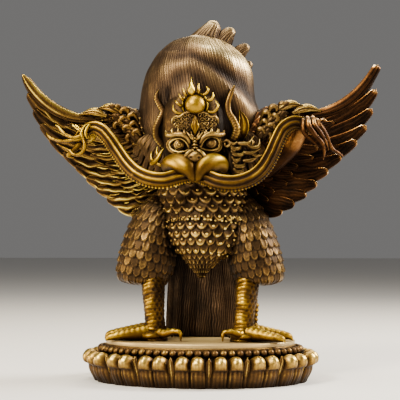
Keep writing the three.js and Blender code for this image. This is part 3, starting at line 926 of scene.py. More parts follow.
def feather(wing, share, tip_share, start, end, forward, rows, cols, seed, wide=1.0):
    """One feather between two places along the sheet, narrowing to its tip.
    `forward` lifts it off the sheet, and `first` is near 1 for the smooth feathers of the leading edge."""
    t = np.linspace(start, end, rows)
    f = np.linspace(0, 1, rows)
    first = math.exp(-2 * share * QUILLS) if end > 0.9 else 0.0
    c = wing_point(wing, share + (tip_share - share) * t ** 1.6, t)

    half_quill = 0.5 / QUILLS
    middle = min(max(share, half_quill), 1 - half_quill)
    above, below = wing_point(wing, middle - half_quill, t), wing_point(wing, middle + half_quill, t)
    room = np.minimum(np.linalg.norm(below - above, axis=1), WIDEST_FEATHER)
    taper = wing["taper"] * (1 + 0.7 * first)
    point = wing["point"] * (1 - first) + wing["first_point"] * first
    narrowing = 1 - (1 - point) * clamp((f - 1 + taper) / taper) ** 1.25
    tip = narrowing * rounded((1 - f) * length_along(c)[-1] / 2.2, 0.001)
    half = 0.5 * room * wing["spread"] * wide * (1 - 0.3 * first) * tip * clamp(0.55 + 2.5 * f)

    c = c + FRONT * (forward * (1 - 0.3 * f))[:, None]
    c = c + np.array([-0.25, 0, 1]) * (wing["hook"] * (1 - first) * f ** 4)[:, None]
    facing = unit(np.array([0.0, -1.0, -0.16]))
    return blade(c, half, facing, 0.95, feather_front(wing, share, first, seed), cols=cols, cup=0.10)


def wing_feathers(wing):
    """Long feathers to the wing's edge, with two rows of shorter ones over their roots."""
    shells = []
    for k, tip_share in enumerate(FEATHER_TIPS):
        share = (k + 0.5) / QUILLS
        shells.append(feather(wing, share, tip_share, start=0.12, end=1.0 if k else 0.96,
                              forward=0.5 + 0.3 * (k % 2), rows=48, cols=19, seed=k * 1.7))
    for k in range(QUILLS):
        share = (k + 0.8) / QUILLS
        shells.append(feather(wing, share, share - 0.02, start=0.05, end=0.52 + 0.04 * math.sin(k * 2.1),
                              forward=1.8 + 0.3 * (k % 2), rows=30, cols=17, seed=40 + k * 2.3, wide=0.95))
    for k in range(QUILLS):
        share = (k + 0.55) / QUILLS
        shells.append(feather(wing, share, share - 0.02, start=0.02, end=0.32 + 0.03 * math.sin(k * 1.3),
                              forward=2.9 + 0.3 * (k % 2), rows=20, cols=15, seed=80 + k * 2.9, wide=0.95))
    return shells


def leading_feather(wing):
    """The smooth horn-like first feather, from the shoulder along the leading edge to the wing's tip."""
    crests = wing["crests"]

    def relief(turn, s, p):
        share = s / s.max()
        # The upper edge is a low ridge with a painted highlight along it, `under` is painted shade on the
        # underside, and `tip` a painted highlight at the end.
        edge = hump(turn + 1.05, 0.42)
        band = hump(turn + 0.25 - 0.5 * share, 0.3)
        vein = hump(turn - 0.55, 0.14)
        under = np.clip(turn - 0.7, 0, 0.6)
        streak = mottle(s * 0.10, turn * 2.4, 9)
        lines = np.sin(9 * turn + 1.6 * mottle(s * 0.08, turn * 1.5, 10))
        root = hump(share - 0.3, 0.16)
        tip = clamp((share - 0.95) / 0.03)
        height = 0.2 * edge + 0.08 * lines - 0.35 * vein - 0.12 * hump(turn + 0.62, 0.12)
        # `bright` paints the lit left copy and `dark` the shaded right copy of this feather.
        bright = 0.24 + 0.72 * edge + 0.6 * band * share ** 0.6 - 0.25 * under + 0.18 * streak
        dark = 0.06 + 0.50 * edge + 0.30 * root * (edge + band) + 0.5 * tip + 0.16 * streak - 0.2 * under
        tone = crests * bright + (1 - crests) * dark + 0.08 * lines
        return height, clamp(tone - 0.12 * vein)

    t = np.linspace(0.12, 1.0, 18)
    c = wing_point(wing, 0.018 + 0.022 * t ** 2, t) + [0, -2.2, 0]
    wide = np.array([1.4, 2.2, 2.8, 3.2, 3.3, 3.1, 2.7, 2.3 - 0.9 * crests])
    deep = wide * [1, 0.8, 0.62, 0.55, 0.52, 0.52, 0.55, 0.6]
    return [tube(c, wide, deep, cols=48, rows=76, relief=relief, blunt=(1.5, 2.2 + 4 * crests))]


def wing_shoulder():
    """The wing's upper arm, in small feathers with raised rims."""
    def relief(turn, s, p):
        u, v = turn / TAU * SHOULDER_SCALES, (s.max() - s) / SHOULDER_SCALE
        x, d, row = overlapping(u, v, scale_edge(0.55))
        rim = hump(d - 0.06, 0.09)
        vein = hump(x, 0.1)
        height = 0.9 * (1 - d / 1.5) + 0.3 * rim + 0.25 * vein - 0.5
        return height, clamp(0.22 + 0.5 * rim + 0.2 * (1 - d) + 0.25 * vein)

    path = [[14, 6, 114], [25, 5, 129], [35, 4, 141], [46, 2, 147], [57, 0.5, 147.6], [68, -1, 147]]
    wide, deep = [11, 12, 9, 5.8, 3.6, 1.2], [11, 10, 8.5, 5.4, 3.8, 1.4]
    return [tube(path, wide, deep, cols=9 * SHOULDER_SCALES, rows=80, relief=relief, blunt=(4, 1))]


def shoulder_curls():
    """Chunky curled tufts over the shoulder, small leaves below them, and two plumes on the leading edge."""
    shells = []
    curls = [
        (46.8, 150.0), (42.2, 148.6), (46.8, 145.6), (38.0, 145.4), (42.4, 143.6), (36.8, 140.8),
        (46.0, 141.0), (40.8, 139.0), (35.2, 136.4), (38.6, 134.0),
    ]
    for k, (x, z) in enumerate(curls):
        y = -4.6 - 0.10 * (50 - x) - 0.7 * math.sin(k * 1.9)
        size, start = 2.3 + 0.3 * math.sin(k * 2.3), 2.7 + 0.5 * math.sin(k * 1.1)
        root = [x - 3.8, y + 1.8, z - 2.6 - 0.6 * math.sin(k)]
        shells.append(curl([x, y, z], size, start, turns=-0.66, thick=1.75, tail=root, rise=1.2, cols=12,
                           tone=0.42))

    def leaf_front(u, t, s, w):
        return 0.5 * hump(u, 0.5), 0.24 + 0.4 * hump(u + 0.6, 0.3) * t

    for k in range(9):
        x, z = 34.6 + 1.7 * k, 134.6 + 1.75 * k + 2.2 * math.sin(k * 2.6)
        points = [[x - 2.4, -3.4, z - 3.0], [x - 1.2, -5.4, z - 0.6], [x + 0.8, -6.0, z + 1.4],
                  [x + 2.6, -5.2, z + 1.0]]
        shells.append(leaf(points, [1.6, 2.2, 1.9, 0.3], [0.1, -1.0, 0.2], 1.4, leaf_front, rows=16, cols=11))

    def plume_front(u, t, s, w):
        groove = hump(u + 0.3, 0.12) + hump(u - 0.35, 0.12)
        tone = 0.70 + 0.3 * hump(u + 0.7, 0.3) - 0.3 * groove + 0.2 * (u < -0.8)
        return 0.5 * hump(u, 0.3) - 0.3 * groove, tone

    upper = [[43, -5, 147.4], [47, -5.6, 150.4], [51.5, -5.4, 151.8], [57.4, -4.4, 150.4]]
    outer = [[52, -5, 146.6], [57, -5.2, 149.0], [61.5, -5, 149.4], [67.5, -4.4, 147.4]]
    for points, widths in ((upper, [0.9, 2.6, 2.3, 0.4]), (outer, [0.9, 2.4, 2.1, 0.4])):
        shells.append(leaf(points, widths, [0.1, -1.0, 0.35], 1.5, plume_front, rows=30, cols=17))
    return shells


right_shoulder, right_curls = wing_shoulder(), shoulder_curls()
piece("wing_feathers_right", wing_feathers(WING_RIGHT) + leading_feather(WING_RIGHT), FEATHER_WARM_PAINTED_SHADE)
piece("wing_feathers_left", mirrored(wing_feathers(WING_LEFT) + leading_feather(WING_LEFT)), FEATHER_GOLD_PAINTED_LIGHT)
piece("wing_shoulder_right", right_shoulder, FEATHER_WARM_PAINTED_SHADE)
piece("wing_shoulder_left", mirrored(right_shoulder), FEATHER_GOLD_PAINTED_LIGHT)
piece("shoulder_curls_right", right_curls, BODY)
piece("shoulder_curls_left", mirrored(right_curls), FEATHER_GOLD_PAINTED_LIGHT)


# Arms and hands: they hold the serpent up at both ends
def forearm(path, girth):
    """A smooth muscled arm, brighter near the hand."""
    def relief(turn, s, p):
        uneven = mottle(s * 0.3, turn, 5)
        near_hand = clamp((p[..., 2] - 124) / 6)
        return 0.08 * uneven, 0.24 + 0.1 * uneven + 0.42 * near_hand

    deep = np.array(girth) * [1, 0.97, 0.94, 0.85, 0.82]
    return [tube(path, girth, deep, cols=40, rows=60, relief=relief, blunt=(3, 2))]


def finger(points, thick, cols=14, dark=0.0):
    """A jointed finger that ends in a claw, with a painted highlight along its crest, strongest above the
    knuckle; `dark` dims it below the knuckle.
    """
    def relief(turn, s, p):
        joint = ridges(s, 6.0, 0.5)
        crest = clamp(np.cos(turn + 0.5)) ** 2.5
        knuckle = clamp((p[..., 2] - 136.5) / 3)
        lit = 0.42 - 2.6 * dark * (1 - knuckle) + 2.2 * dark * knuckle
        return 0.2 * joint - 0.12 + 0.12 * crest, 0.22 - dark + 0.14 * joint + lit * crest

    wide = [thick * 0.9, thick, thick * 1.1, thick, thick * 0.85, thick * 0.6, 0.25]
    return tube(points, wide, cols=cols, rows=54, relief=relief, blunt=(1, 0.3))


def palm(points, wide, deep):
    """A small plain palm, which the fingers spring from."""
    return tube(points, wide, deep, cols=20, rows=20, blunt=(2, 2))


RIGHT_FINGERS = [
    [[57.6, -16, 136], [58.2, -20, 139.8], [58.8, -25, 139.8], [59.0, -27.6, 136.4], [59.6, -28.4, 133.6],
     [63.8, -28.2, 129.4], [66.8, -27, 126.4]],
    [[59.8, -16, 137], [60.6, -20, 141.2], [61.2, -25, 141.0], [61.8, -28.4, 137.6], [64.8, -28.8, 132.7],
     [69.0, -27.4, 127.6], [69.8, -25.4, 123.6], [69.2, -24.2, 119.4]],
    [[62.4, -16, 137], [63.4, -19.6, 141.4], [63.9, -24.4, 141.2], [64.6, -27.4, 138.0], [68.1, -27.4, 133.3],
     [70.7, -26, 128.5], [72.2, -24.6, 124.6]],
    [[64.4, -16, 136], [65.6, -19, 140.2], [66.2, -23.4, 140.0], [67.4, -25.8, 137.4], [69.6, -25.6, 134.6],
     [71.6, -24.4, 130.4], [73.6, -23, 125.8], [76.8, -21.4, 123.6], [80.0, -19.8, 121.6]],
]
RIGHT_THUMB = [[63, -16, 136], [66.4, -18, 139.4], [69, -19.6, 141], [71.4, -19.6, 140.4]]
LEFT_CLAWS = [
    [[57, -19, 137.6], [60.3, -20.4, 135.7], [63.7, -21, 134.2], [67.5, -20.4, 133.5], [72, -18.4, 135.2],
     [74.8, -17, 137.4], [77, -16, 140.0], [79.2, -15, 141.2]],
    [[57, -19, 136], [60.6, -20, 133.8], [63.7, -20, 132.8], [69.2, -19.4, 132.1], [74.8, -17.4, 131.9],
     [79.2, -15.6, 133.0], [82.6, -14.4, 134.6], [84.6, -13.6, 136.8]],
    [[57.6, -19, 136], [61.2, -20.6, 133.6], [60.6, -21.2, 129.7], [61.4, -21, 126.4], [64.2, -20.4, 124.2],
     [67.5, -19.4, 124.4], [69.8, -18.6, 126.6], [73.7, -17, 128.4], [78.4, -15, 130.8]],
]
LEFT_THUMB = [[63.4, -17.6, 131.6], [68.4, -16.6, 126.2], [71.2, -15.8, 124.2], [68.2, -15.6, 122.8]]


def right_hand():
    """Four long claws hook over the serpent and hang down, with a thumb above."""
    shells = [finger(points, 1.45, dark=0.1) for points in RIGHT_FINGERS]
    shells.append(finger(RIGHT_THUMB, 1.35, dark=0.1))
    shells.append(palm([[58, -16, 135], [61, -18, 138.4], [64, -18, 137]], [4.0, 4.6, 3.4], [3, 3.4, 2.6]))
    return shells


def left_hand():
    """Long curved claws sweep out over the wing, and short fingers wrap the serpent."""
    shells = [finger(points, 0.92, dark=0.075) for points in LEFT_CLAWS]
    for out, up in ((0, 0), (2.2, -0.4)):
        wrap = [[56 + out, -17, 134 + up], [56.4 + out, -20.5, 139 + up], [57.6 + out, -25, 139.2 + up],
                [58.8 + out, -27, 135.8 + up], [58.4 + out, -26.4, 132.4 + up]]
        shells.append(finger(wrap, 1.1, dark=0.04))
    for out in (0, 1.6):
        spike = [[58 + out, -24, 134.8], [61.4 + out, -25, 137], [65.6 + out, -24, 140.2]]
        shells.append(finger(spike, 0.6, cols=8, dark=0.05))
    shells.append(finger(LEFT_THUMB, 1.5, dark=0.12))
    shells.append(palm([[56, -16, 133], [59, -18.6, 136], [62, -19, 134]], [3.8, 4.2, 3.0], [3, 3.2, 2.4]))
    return mirrored(shells)


RIGHT_ARM = [[36, 1, 113], [44, -5.5, 119.5], [51.5, -11, 128], [55.2, -15, 134], [57.4, -18, 139.4]]
LEFT_ARM = [[44, -9, 131], [47, -12, 133], [50, -14, 134.5], [54, -16.6, 136], [57.4, -18, 137.4]]
piece("arm_right", forearm(RIGHT_ARM, [2.6, 3.6, 4.9, 4.7, 3.8]), FEATHER_WARM_PAINTED_SHADE)
piece("arm_left", mirrored(forearm(LEFT_ARM, [2.6, 3, 3.4, 3.8, 3.8])), BODY)
piece("hand_right", right_hand(), FEATHER_WARM_PAINTED_SHADE)
piece("hand_left", left_hand(), GOLD)


# Serpent: smooth ridges with grooves between them, and a row of small scutes along its lower edge
SERPENT = [
    [-66.6, -17.5, 132.4], [-61, -20.5, 136.4], [-55.4, -22.5, 138.4], [-50.6, -24, 136.6],
    [-46.2, -25, 132.2], [-41.6, -26, 125.8], [-35.6, -28, 117.9], [-30, -30, 113.0], [-23, -31, 109.9],
    [-15, -31, 109.0], [-7, -28.4, 111.2], [0, -25.6, 112.6], [7, -28.4, 110.8], [15, -31, 107.9],
    [24, -31, 107.4], [32.4, -30, 110.3], [38.0, -28.6, 115.2], [42.2, -27, 122.4], [45.4, -26, 130],
    [49, -24, 136.8], [54.4, -22.5, 139.7], [61.5, -20.5, 138.0], [66.8, -17.5, 134.6],
]
SERPENT_GIRTH = [1.4, 3.0, 3.6, 3.8, 3.8, 3.9, 4.1, 4.2, 4.3, 4.3, 4.2, 4.0]


def serpent():
    """It hangs from both hands and passes through the beak, painted darker on the right as shade."""
    def relief(turn, s, p):
        a = np.degrees(turn)
        right = clamp(p[..., 0] / 8)
        far_right = clamp((p[..., 0] - 26) / 8)
        upper, middle, lower = hump(a + 52, 15), hump(a + 4, 13), hump(a - 40, 9)
        grooves = 0.5 * hump(a + 27, 8) + 0.45 * hump(a - 22, 7) + 0.3 * hump(a - 54, 5)
        scute = (0.5 + 0.5 * np.cos(TAU * s / 1.55)) * hump(a - 66, 15)
        seen = clamp((150 - np.abs(a - 20)) / 60)
        height = 0.85 * upper + 0.75 * middle + 0.45 * lower + 0.8 * scute - grooves
        # The upper two ridges are worn bright and also carry a painted highlight, which changes in width and
        # strength towards the right; `right` paints shade.
        first = 0.44 * hump(a + 52, 12 - 4 * far_right)
        first = first * (1 + 0.3 * right * (1 - far_right) + 0.1 * far_right)
        second = 0.36 * hump(a + 3, 7 - 2 * far_right) * (1 - 0.6 * right + 0.6 * far_right)
        tone = 0.19 - 0.18 * right + first + second + 0.5 * scute * (1 - 0.55 * right) - 0.3 * grooves
        return height * seen, clamp(tone + 0.06 * mottle(s * 0.4, turn * 2, 14))

    wide = np.array(SERPENT_GIRTH + SERPENT_GIRTH[-2::-1])
    around = uneven_turns(1.9, 40, 8)
    return [tube(SERPENT, wide, wide * 0.75, rows=600, relief=relief, blunt=(0.5, 0.5), turn=around)]


piece("serpent", serpent(), GOLD)


# Head: made looking straight ahead, then turned a little to one side
FACE_TURN, FACE_AXIS, FACE_SHIFT = 8.0, [0, -5, 0], [-2.0, 0, 0]


def faced(shells):
    """Turns what was made looking straight ahead the way that the head looks."""
    return turned(shells, FACE_TURN, FACE_AXIS, FACE_SHIFT)


def face_modelled():
    """Does the same to the object that was just modelled by hand."""
    ob = bpy.context.object
    bpy.ops.object.transform_apply(location=True, rotation=True, scale=True)
    co = np.empty(len(ob.data.vertices) * 3)
    ob.data.vertices.foreach_get("co", co)
    co = faced([(co.reshape(-1, 3) / MM, None, None, None)])[0][0] * MM
    ob.data.vertices.foreach_set("co", co.ravel())
    ob.data.update()


def skull():
    """The head under the brows, bright up the middle and sunk under the hair on the right, where it is
    painted darker as shade.
    """
    def relief(turn, s, p):
        x, z = p[..., 0], p[..., 2]
        fine = mottle(x * 0.5, z * 0.4, 3) + 0.5 * np.sin(turn * 30 + 2 * mottle(s * 0.6, turn * 6, 4))
        # On the right the head sinks in and is painted darker as shade.
        sunk_and_shaded = clamp((x - 11) / 4)
        return 0.12 * fine - 1.8 * sunk_and_shaded, 0.30 + 0.44 * hump(x - 1, 10) + 0.10 * fine - 0.3 * sunk_and_shaded

    path = [[0, -9, 114.5], [0, -9, 122], [0, -9, 132], [0, -9, 142], [0, -8.4, 150], [0, -7, 156.5]]
    wide, deep = [9, 16.4, 18.2, 18.4, 17.4, 13.4], [7, 13.4, 14.6, 14.6, 13.2, 9]
    return [tube(path, wide, deep, cols=100, rows=56, relief=relief, blunt=(5, 4), square=0.85)]


def half_beak(bright):
    """One lobe of the upper bill, from the tip to the corner of the mouth: `bright` says where its painted
    highlight lies.
    """
    def relief(turn, s, p):
        a = np.degrees(turn)
        inner = hump(a - 88, 16) + hump(a + 92, 22) * 0.3
        share = s / s.max()
        # A painted highlight, placed for each lobe.
        wear_and_painted_light = hump(a - bright, 30) * hump(share - 0.55, 0.3)
        tone = 0.28 + 0.38 * wear_and_painted_light - 0.3 * inner - 0.16 * hump(share, 0.2) - 0.2 * share ** 6
        return -0.12 * inner, clamp(tone + 0.06 * mottle(s * 0.3, turn, 4))

    path = [
        [0.8, -31.2, 107.4], [1.5, -32, 110.0], [2.6, -32, 113.0], [4.5, -31.2, 115.8],
        [7.8, -29.2, 118.0], [12.0, -26, 118.8], [15.2, -22, 117.2], [15.9, -19.4, 113.8],
    ]
    wide, deep = [0.6, 2.1, 3.3, 4.8, 5.3, 4.7, 3.5, 1.4], [0.6, 2.2, 3.3, 4.2, 4.4, 4.0, 3.2, 1.6]
    return tube(path, wide, deep, cols=44, rows=64, relief=relief, blunt=(0.8, 2.0))


def beak():
    """Two lobes with painted highlights in different places, over a small lower bill."""
    under = [[0, -26.6, 114], [0, -29.0, 111.4], [0, -30.2, 109.4]]
    lower = tube(under, [5.4, 3.4, 0.8], [2, 1.8, 0.6], cols=24, rows=20, blunt=(1, 0.5))
    return [half_beak(-35)] + mirrored([half_beak(10)]) + [lower]


def ring(points, thick, tone):
    """A closed bead of metal through the given points."""
    p, _ = loft(points + [points[0]], thick, cols=9, rows=60)
    return skin(p, tone)


def eye(side):
    """A round eye in a deep socket, inside two almond-shaped rims."""
    x, y = 8.5 * side, -22.6
    z = 129.3 if side > 0 else 128.4
    corner = 4.5 if side > 0 else 5.2

    def rings(p):
        r = np.hypot(p[..., 0] - x, p[..., 2] - z)
        if side < 0:
            wave = hump(r - 2.5, 0.28) + hump(r - 1.45, 0.25) + 0.9 * hump(r, 0.5)
        else:
            wave = 0.7 * hump(r - 2.5, 0.35) + 0.5 * hump(r - 0.2, 0.9)
        wave = wave * (p[..., 1] < y)
        return 0.28 * wave, clamp(0.46 + 0.4 * wave)

    rim = [
        (-5.7, -2.6, -2.6), (-4.0, -2.9, 1.2), (-1.0, -2.7, 3.4), (2.6, -1.6, 3.1),
        (corner, 0.4, 0.5), (4.0, -0.2, -2.4), (0.8, -1.8, -3.9), (-3.0, -2.7, -3.7),
    ]
    inner = [[x + out * side, y + back, z + up] for out, back, up in rim]
    outer = [[x + 1.24 * out * side, y + back + 1.0, z + 1.26 * up] for out, back, up in rim]
    return [
        ball([x, y, z], [3.4, 3.2, 3.4], cols=44, rows=38, relief=rings),
        ball([x, y + 1.4, z], [5.4, 2.0, 4.2], cols=30, rows=20, tone=0.2),
        ring(inner, thick=0.78, tone=0.74),
        ring(outer, thick=0.8, tone=0.6),
    ]


def flame(points, thick):
    """A small spike that narrows to its tip."""
    wide = [thick * 0.7, thick, thick * 0.85, thick * 0.5, 0.15]
    return tube(points, wide, cols=9, rows=18, blunt=(0.5, 0.2))


def brow(side):
    """A thick band over the eye, with hooked spikes along it."""
    def at(x, y, z):
        return [x * side, y, z]

    # The upper side of the band is painted brighter, as a highlight.
    def relief(turn, s, p):
        return 0.0, 0.40 + 0.27 * np.cos(turn + 0.6)

    path = [
        at(2.6, -26.4, 128.6), at(3.9, -27.0, 131.6), at(6.4, -27.0, 133.5), at(9.6, -26.0, 134.0),
        at(12.6, -24.4, 133.7), at(15.0, -22.2, 134.4), at(16.0, -21.2, 136.8),
    ]
    wide, deep = [0.8, 1.2, 1.5, 1.6, 1.6, 1.5, 0.4], [0.9, 1.5, 1.7, 1.8, 1.7, 1.5, 0.4]
    shells = [tube(path, wide, deep, cols=14, rows=44, relief=relief, blunt=(0.6, 0.3))]
    for x, z, tall in ((4.6, 133.6, 3.0), (7.8, 134.4, 2.9), (11.2, 134.2, 3.0)):
        y = -26.8 + 0.03 * (x - 4) ** 2
        spike = [at(x, y, z - 1), at(x + 0.9, y - 0.7, z + tall * 0.3),
                 at(x + 1.2, y - 0.6, z + tall * 0.7), at(x + 0.5, y - 0.2, z + tall)]
        shells.append(flame(spike, 0.95))
    return shells


def nose():
    """A dark soft lump with a curled rim on each side, and small rings and spikes up the bridge."""
    def relief(p):
        x, z = p[..., 0], p[..., 2]
        holes = hump(np.hypot(np.abs(x) - 2.3, z - 120.8), 0.7)
        return -0.9 * holes, 0.52 - 0.3 * holes + 0.16 * hump(z - 123.6, 1.2)

    shells = [ball([0, -30.4, 121.3], [4.9, 3.6, 3.5], cols=56, rows=36, relief=relief)]
    for side in (-1, 1):
        rim = [[0.8 * side, -31.8, 125.2], [3.0 * side, -32.6, 124.2], [4.7 * side, -32.2, 122.4],
               [5.7 * side, -31.0, 120.0], [4.4 * side, -32.2, 118.6], [2.9 * side, -33.2, 119.0]]
        shells.append(tube(rim, [0.5, 0.8, 1.0, 0.95, 0.8, 0.5], cols=10, rows=34, blunt=(0.5, 0.4)))
    for k in range(4):
        half, z = 1.8 - 0.15 * k, 126.4 + 1.7 * k
        band = [[-half, -26.0, z - 0.2], [0, -27.8 - 0.05 * k, z + 0.1], [half, -26.0, z - 0.2]]
        shells.append(tube(band, [0.5, 0.72, 0.5], cols=8, rows=12, blunt=(0.4, 0.4)))
    for side in (-1, 1):
        shells.append(flame([[0.6 * side, -27.6, 130.4], [2.0 * side, -28.2, 132.0],
                             [3.6 * side, -28.0, 134.0], [4.9 * side, -27.0, 135.8]], 0.8))
        shells.append(flame([[0.7 * side, -27.4, 132.0], [1.7 * side, -28.0, 133.2],
                             [2.1 * side, -27.4, 135.6]], 0.7))
    return shells


def forehead():
    """A cloud-shaped plate covered in small scrolls, with a wavy rim."""
    def front(u, t, s, w):
        bumps = mottle(u * w * 1.9, s * 2.1, 21, 0.8)
        return 0.3 * bumps, 0.52 + 0.12 * bumps

    points = [[0, -22.6, 133.4], [0, -24.6, 137], [0, -24.4, 142], [0, -23.6, 145.6]]
    shells = [leaf(points, [6.0, 9.6, 11.0, 10.2, 7.0, 2.0], FRONT, 1.8, front, rows=40, cols=61, cup=0.22)]
    scrolls = [
        (3.6, 136.6), (6.2, 137.2), (8.8, 137.2), (3.7, 139.2), (6.1, 139.7), (8.5, 139.7), (10.7, 139.2),
        (3.9, 141.8), (6.2, 142.1), (8.6, 142.2), (10.6, 141.8), (2.6, 144.1), (5.0, 144.4),
    ]
    for k, (x, z) in enumerate(scrolls):
        for side in (-1, 1):
            centre, turns = [x * side, -26.7 + 0.024 * x * x, z], (1.15 if k % 2 else -1.15) * side
            shells.append(curl(centre, 1.25, 0.5 + 1.7 * k, turns, thick=0.3, rows=18, cols=6, tone=0.52))
    rim = [(0, -25.6, 146.4), (2.8, -25.6, 145.9), (5.6, -25.2, 145.4), (8.2, -24.8, 143.6),
           (10.6, -24.0, 143.8), (12.2, -23.0, 142.2), (12.4, -22.4, 139.8)]
    wide = [0.5, 0.75, 0.7, 0.75, 0.65, 0.6, 0.3]
    for side in (1, -1):
        path = [[x * side, y, z] for x, y, z in rim]
        shells.append(tube(path, wide, cols=8, rows=40, blunt=(0.4, 0.3)))
    return shells


def lozenge():
    """A slender diamond up the middle of the forehead."""
    def front(u, t, s, w):
        edge = hump(np.abs(u) - 0.8, 0.16)
        return 0.5 * (1 - np.abs(u)) + 0.4 * edge, 0.24 + 0.3 * edge + 0.25 * hump(u, 0.14)

    points = [[0, -26.2, 133.0], [0, -27.6, 136.4], [0, -27.6, 140], [0, -25.8, 144.4]]
    return leaf(points, [0.3, 1.0, 2.3, 1.2, 0.12], FRONT, 1.0, front, rows=24, cols=17)


# Crown: flames about a dish, with a round jewel inside a ring
CROWN_HEIGHT = 149.9
DISH_RADIUS, JEWEL_RADIUS, RING_RADIUS, RING_THICK = 7.2, 5.45, 6.7, 0.55


def crown_place(forward):
    """The middle of a round part of the crown, in metres."""
    return (0, -forward * MM, CROWN_HEIGHT * MM)


def crown_dish():
    """The dish behind the jewel, modelled by hand: a disc, inset and sunk, with rounded edges."""
    clear_hand()
    bpy.ops.mesh.primitive_cylinder_add(vertices=40, radius=DISH_RADIUS * MM, depth=5 * MM,
                                        location=crown_place(20.5), rotation=(math.pi / 2, 0, 0))
    bpy.ops.object.transform_apply(location=True, rotation=True, scale=True)
    ob = bpy.context.object
    for face in ob.data.polygons:
        face.select = face.normal.y < -0.9
    bpy.ops.object.mode_set(mode="EDIT")
    bpy.ops.mesh.inset(thickness=0.9 * MM, depth=0)
    bpy.ops.mesh.inset(thickness=0.4 * MM, depth=-0.9 * MM)
    bpy.ops.object.mode_set(mode="OBJECT")
    round_edges(ob, 0.35, 2)
    face_modelled()
    modelled("crown_dish", GOLD, tone=0.12)


def crown_jewel():
    """The jewel, a ball that is pressed a little flat."""
    clear_hand()
    bpy.ops.mesh.primitive_uv_sphere_add(segments=48, ring_count=28, radius=JEWEL_RADIUS * MM,
                                         location=crown_place(24.6))
    stretch_in_edit((1.0, 0.86, 1.0))
    face_modelled()
    modelled("crown_jewel", GOLD, tone=0.54)


def crown_ring():
    """The bright ring round the jewel."""
    clear_hand()
    bpy.ops.mesh.primitive_torus_add(major_radius=RING_RADIUS * MM, minor_radius=RING_THICK * MM,
                                     major_segments=60, minor_segments=12,
                                     location=crown_place(23.4), rotation=(math.pi / 2, 0, 0))
    face_modelled()
    modelled("crown_ring", GOLD, tone=0.85)


def crown_flames():
    """Slender hooked flames fan out from the dish's rim, about a tall pointed leaf."""
    def flame_relief(turn, s, p):
        return 0.0, 0.10 + 0.24 * np.cos(turn) + 0.36 * s / s.max()

    def leaf_front(u, t, s, w):
        return 0.9 * (1 - np.abs(u)), 0.62 + 0.2 * hump(u, 0.3)

    left = [
        [(4.4, 4.4), (5.2, 6.0), (5.9, 7.6), (6.5, 9.4)],
        [(6.0, 2.2), (7.0, 3.4), (8.0, 4.7), (8.7, 6.2)],
        [(6.9, -0.8), (8.4, 0.2), (9.8, 1.4), (10.9, 2.6)],
        [(5.6, -4.6), (9.0, -4.4), (11.4, -2.6), (11.8, 0.2)],
    ]
    right = [
        [(1.8, 5.8), (1.9, 7.8), (1.7, 9.8), (2.2, 12.0)],
        [(3.8, 5.2), (5.9, 6.2), (7.0, 8.2), (6.0, 10.4)],
        [(6.2, 2.6), (8.6, 2.8), (9.6, 4.6), (9.7, 7.2)],
        [(6.4, -3.6), (9.8, -3.8), (12.3, -1.0), (10.9, 2.8)],
    ]
    wide, deep = [0.85, 0.85, 0.75, 0.3], [1.1, 1.1, 0.9, 0.3]
    shells = []
    for side, flames in ((-1, left), (1, right)):
        for places in flames:
            path = [[x * side, -22.8 - 1.4 * math.sin(1 + 0.6 * n), CROWN_HEIGHT + z]
                    for n, (x, z) in enumerate(places)]
            shells.append(tube(path, wide, deep, cols=12, rows=26, relief=flame_relief, blunt=(0.8, 0.3)))
    tall = [[-1.4, -23.2, 154.8], [-1.9, -24.8, 157.6], [-2.1, -24.6, 160.4], [-1.9, -23.4, 164.9]]
    shells.append(leaf(tall, [1.3, 2.2, 1.9, 0.9, 0.12], FRONT, 1.0, leaf_front, rows=22, cols=13))
    return shells


# Horns and ear
def horn(path, wide, tone, clear, ribbon):
    """A horn with bright ribbons along it and fine rings, which are as clear as `clear(z)` says."""
    def relief(turn, s, p):
        ringed = ridges(s, 1.45, 0.6) * clamp(np.cos(turn) + 0.9) * clear(p[..., 2])
        # The ribbons stand out and are brighter, partly from wear and partly as a painted highlight.
        wear_and_painted_light = ribbon(turn, s)
        return 0.25 * ringed + 0.25 * wear_and_painted_light - 0.1, clamp(tone + 0.16 * ringed + 0.44 * wear_and_painted_light)

    return tube(path, wide, cols=20, rows=130, relief=relief, blunt=(1, 0.8))


def right_horn():
    """Ringed below, with two smooth ribbons."""
    def ribbon(turn, s):
        return hump(turn + 0.75, 0.4) + 0.8 * hump(turn - 0.65, 0.4)

    path = [
        [18.0, -12, 129.4], [21.0, -14.6, 132.6], [22.4, -15.8, 137.0], [20.6, -16.2, 142.0],
        [18.1, -16.2, 146.4], [17.6, -15.8, 151], [19.2, -15.2, 156.6], [21.2, -14.4, 161.6],
    ]
    wide = [2.0, 2.2, 2.2, 2.0, 1.8, 1.7, 1.4, 0.5]
    return horn(path, wide, tone=0.24, clear=lambda z: clamp((149 - z) / 8), ribbon=ribbon)


def left_horn():
    """Faintly ringed, with a notched ribbon along its outer side."""
    def ribbon(turn, s):
        notched = (1.3 + 0.35 * np.cos(TAU * s / 1.3)) * hump(turn - 0.85, 0.4)
        return notched + 0.4 * hump(turn + 0.6, 0.3)

    path = [
        [15.4, -13, 126.6], [18.4, -14.8, 129.4], [21.4, -15.6, 133.4], [21.7, -16, 138.2],
        [19.8, -16, 143.2], [18.2, -15.6, 147.8], [20.2, -15.2, 151.6], [21.9, -14.8, 155.6],
        [20.6, -14.4, 159.8],
    ]
    wide = [1.5, 1.8, 1.9, 1.9, 1.8, 1.6, 1.5, 1.3, 0.4]
    return horn(path, wide, tone=0.16, clear=lambda z: 0.3, ribbon=ribbon)


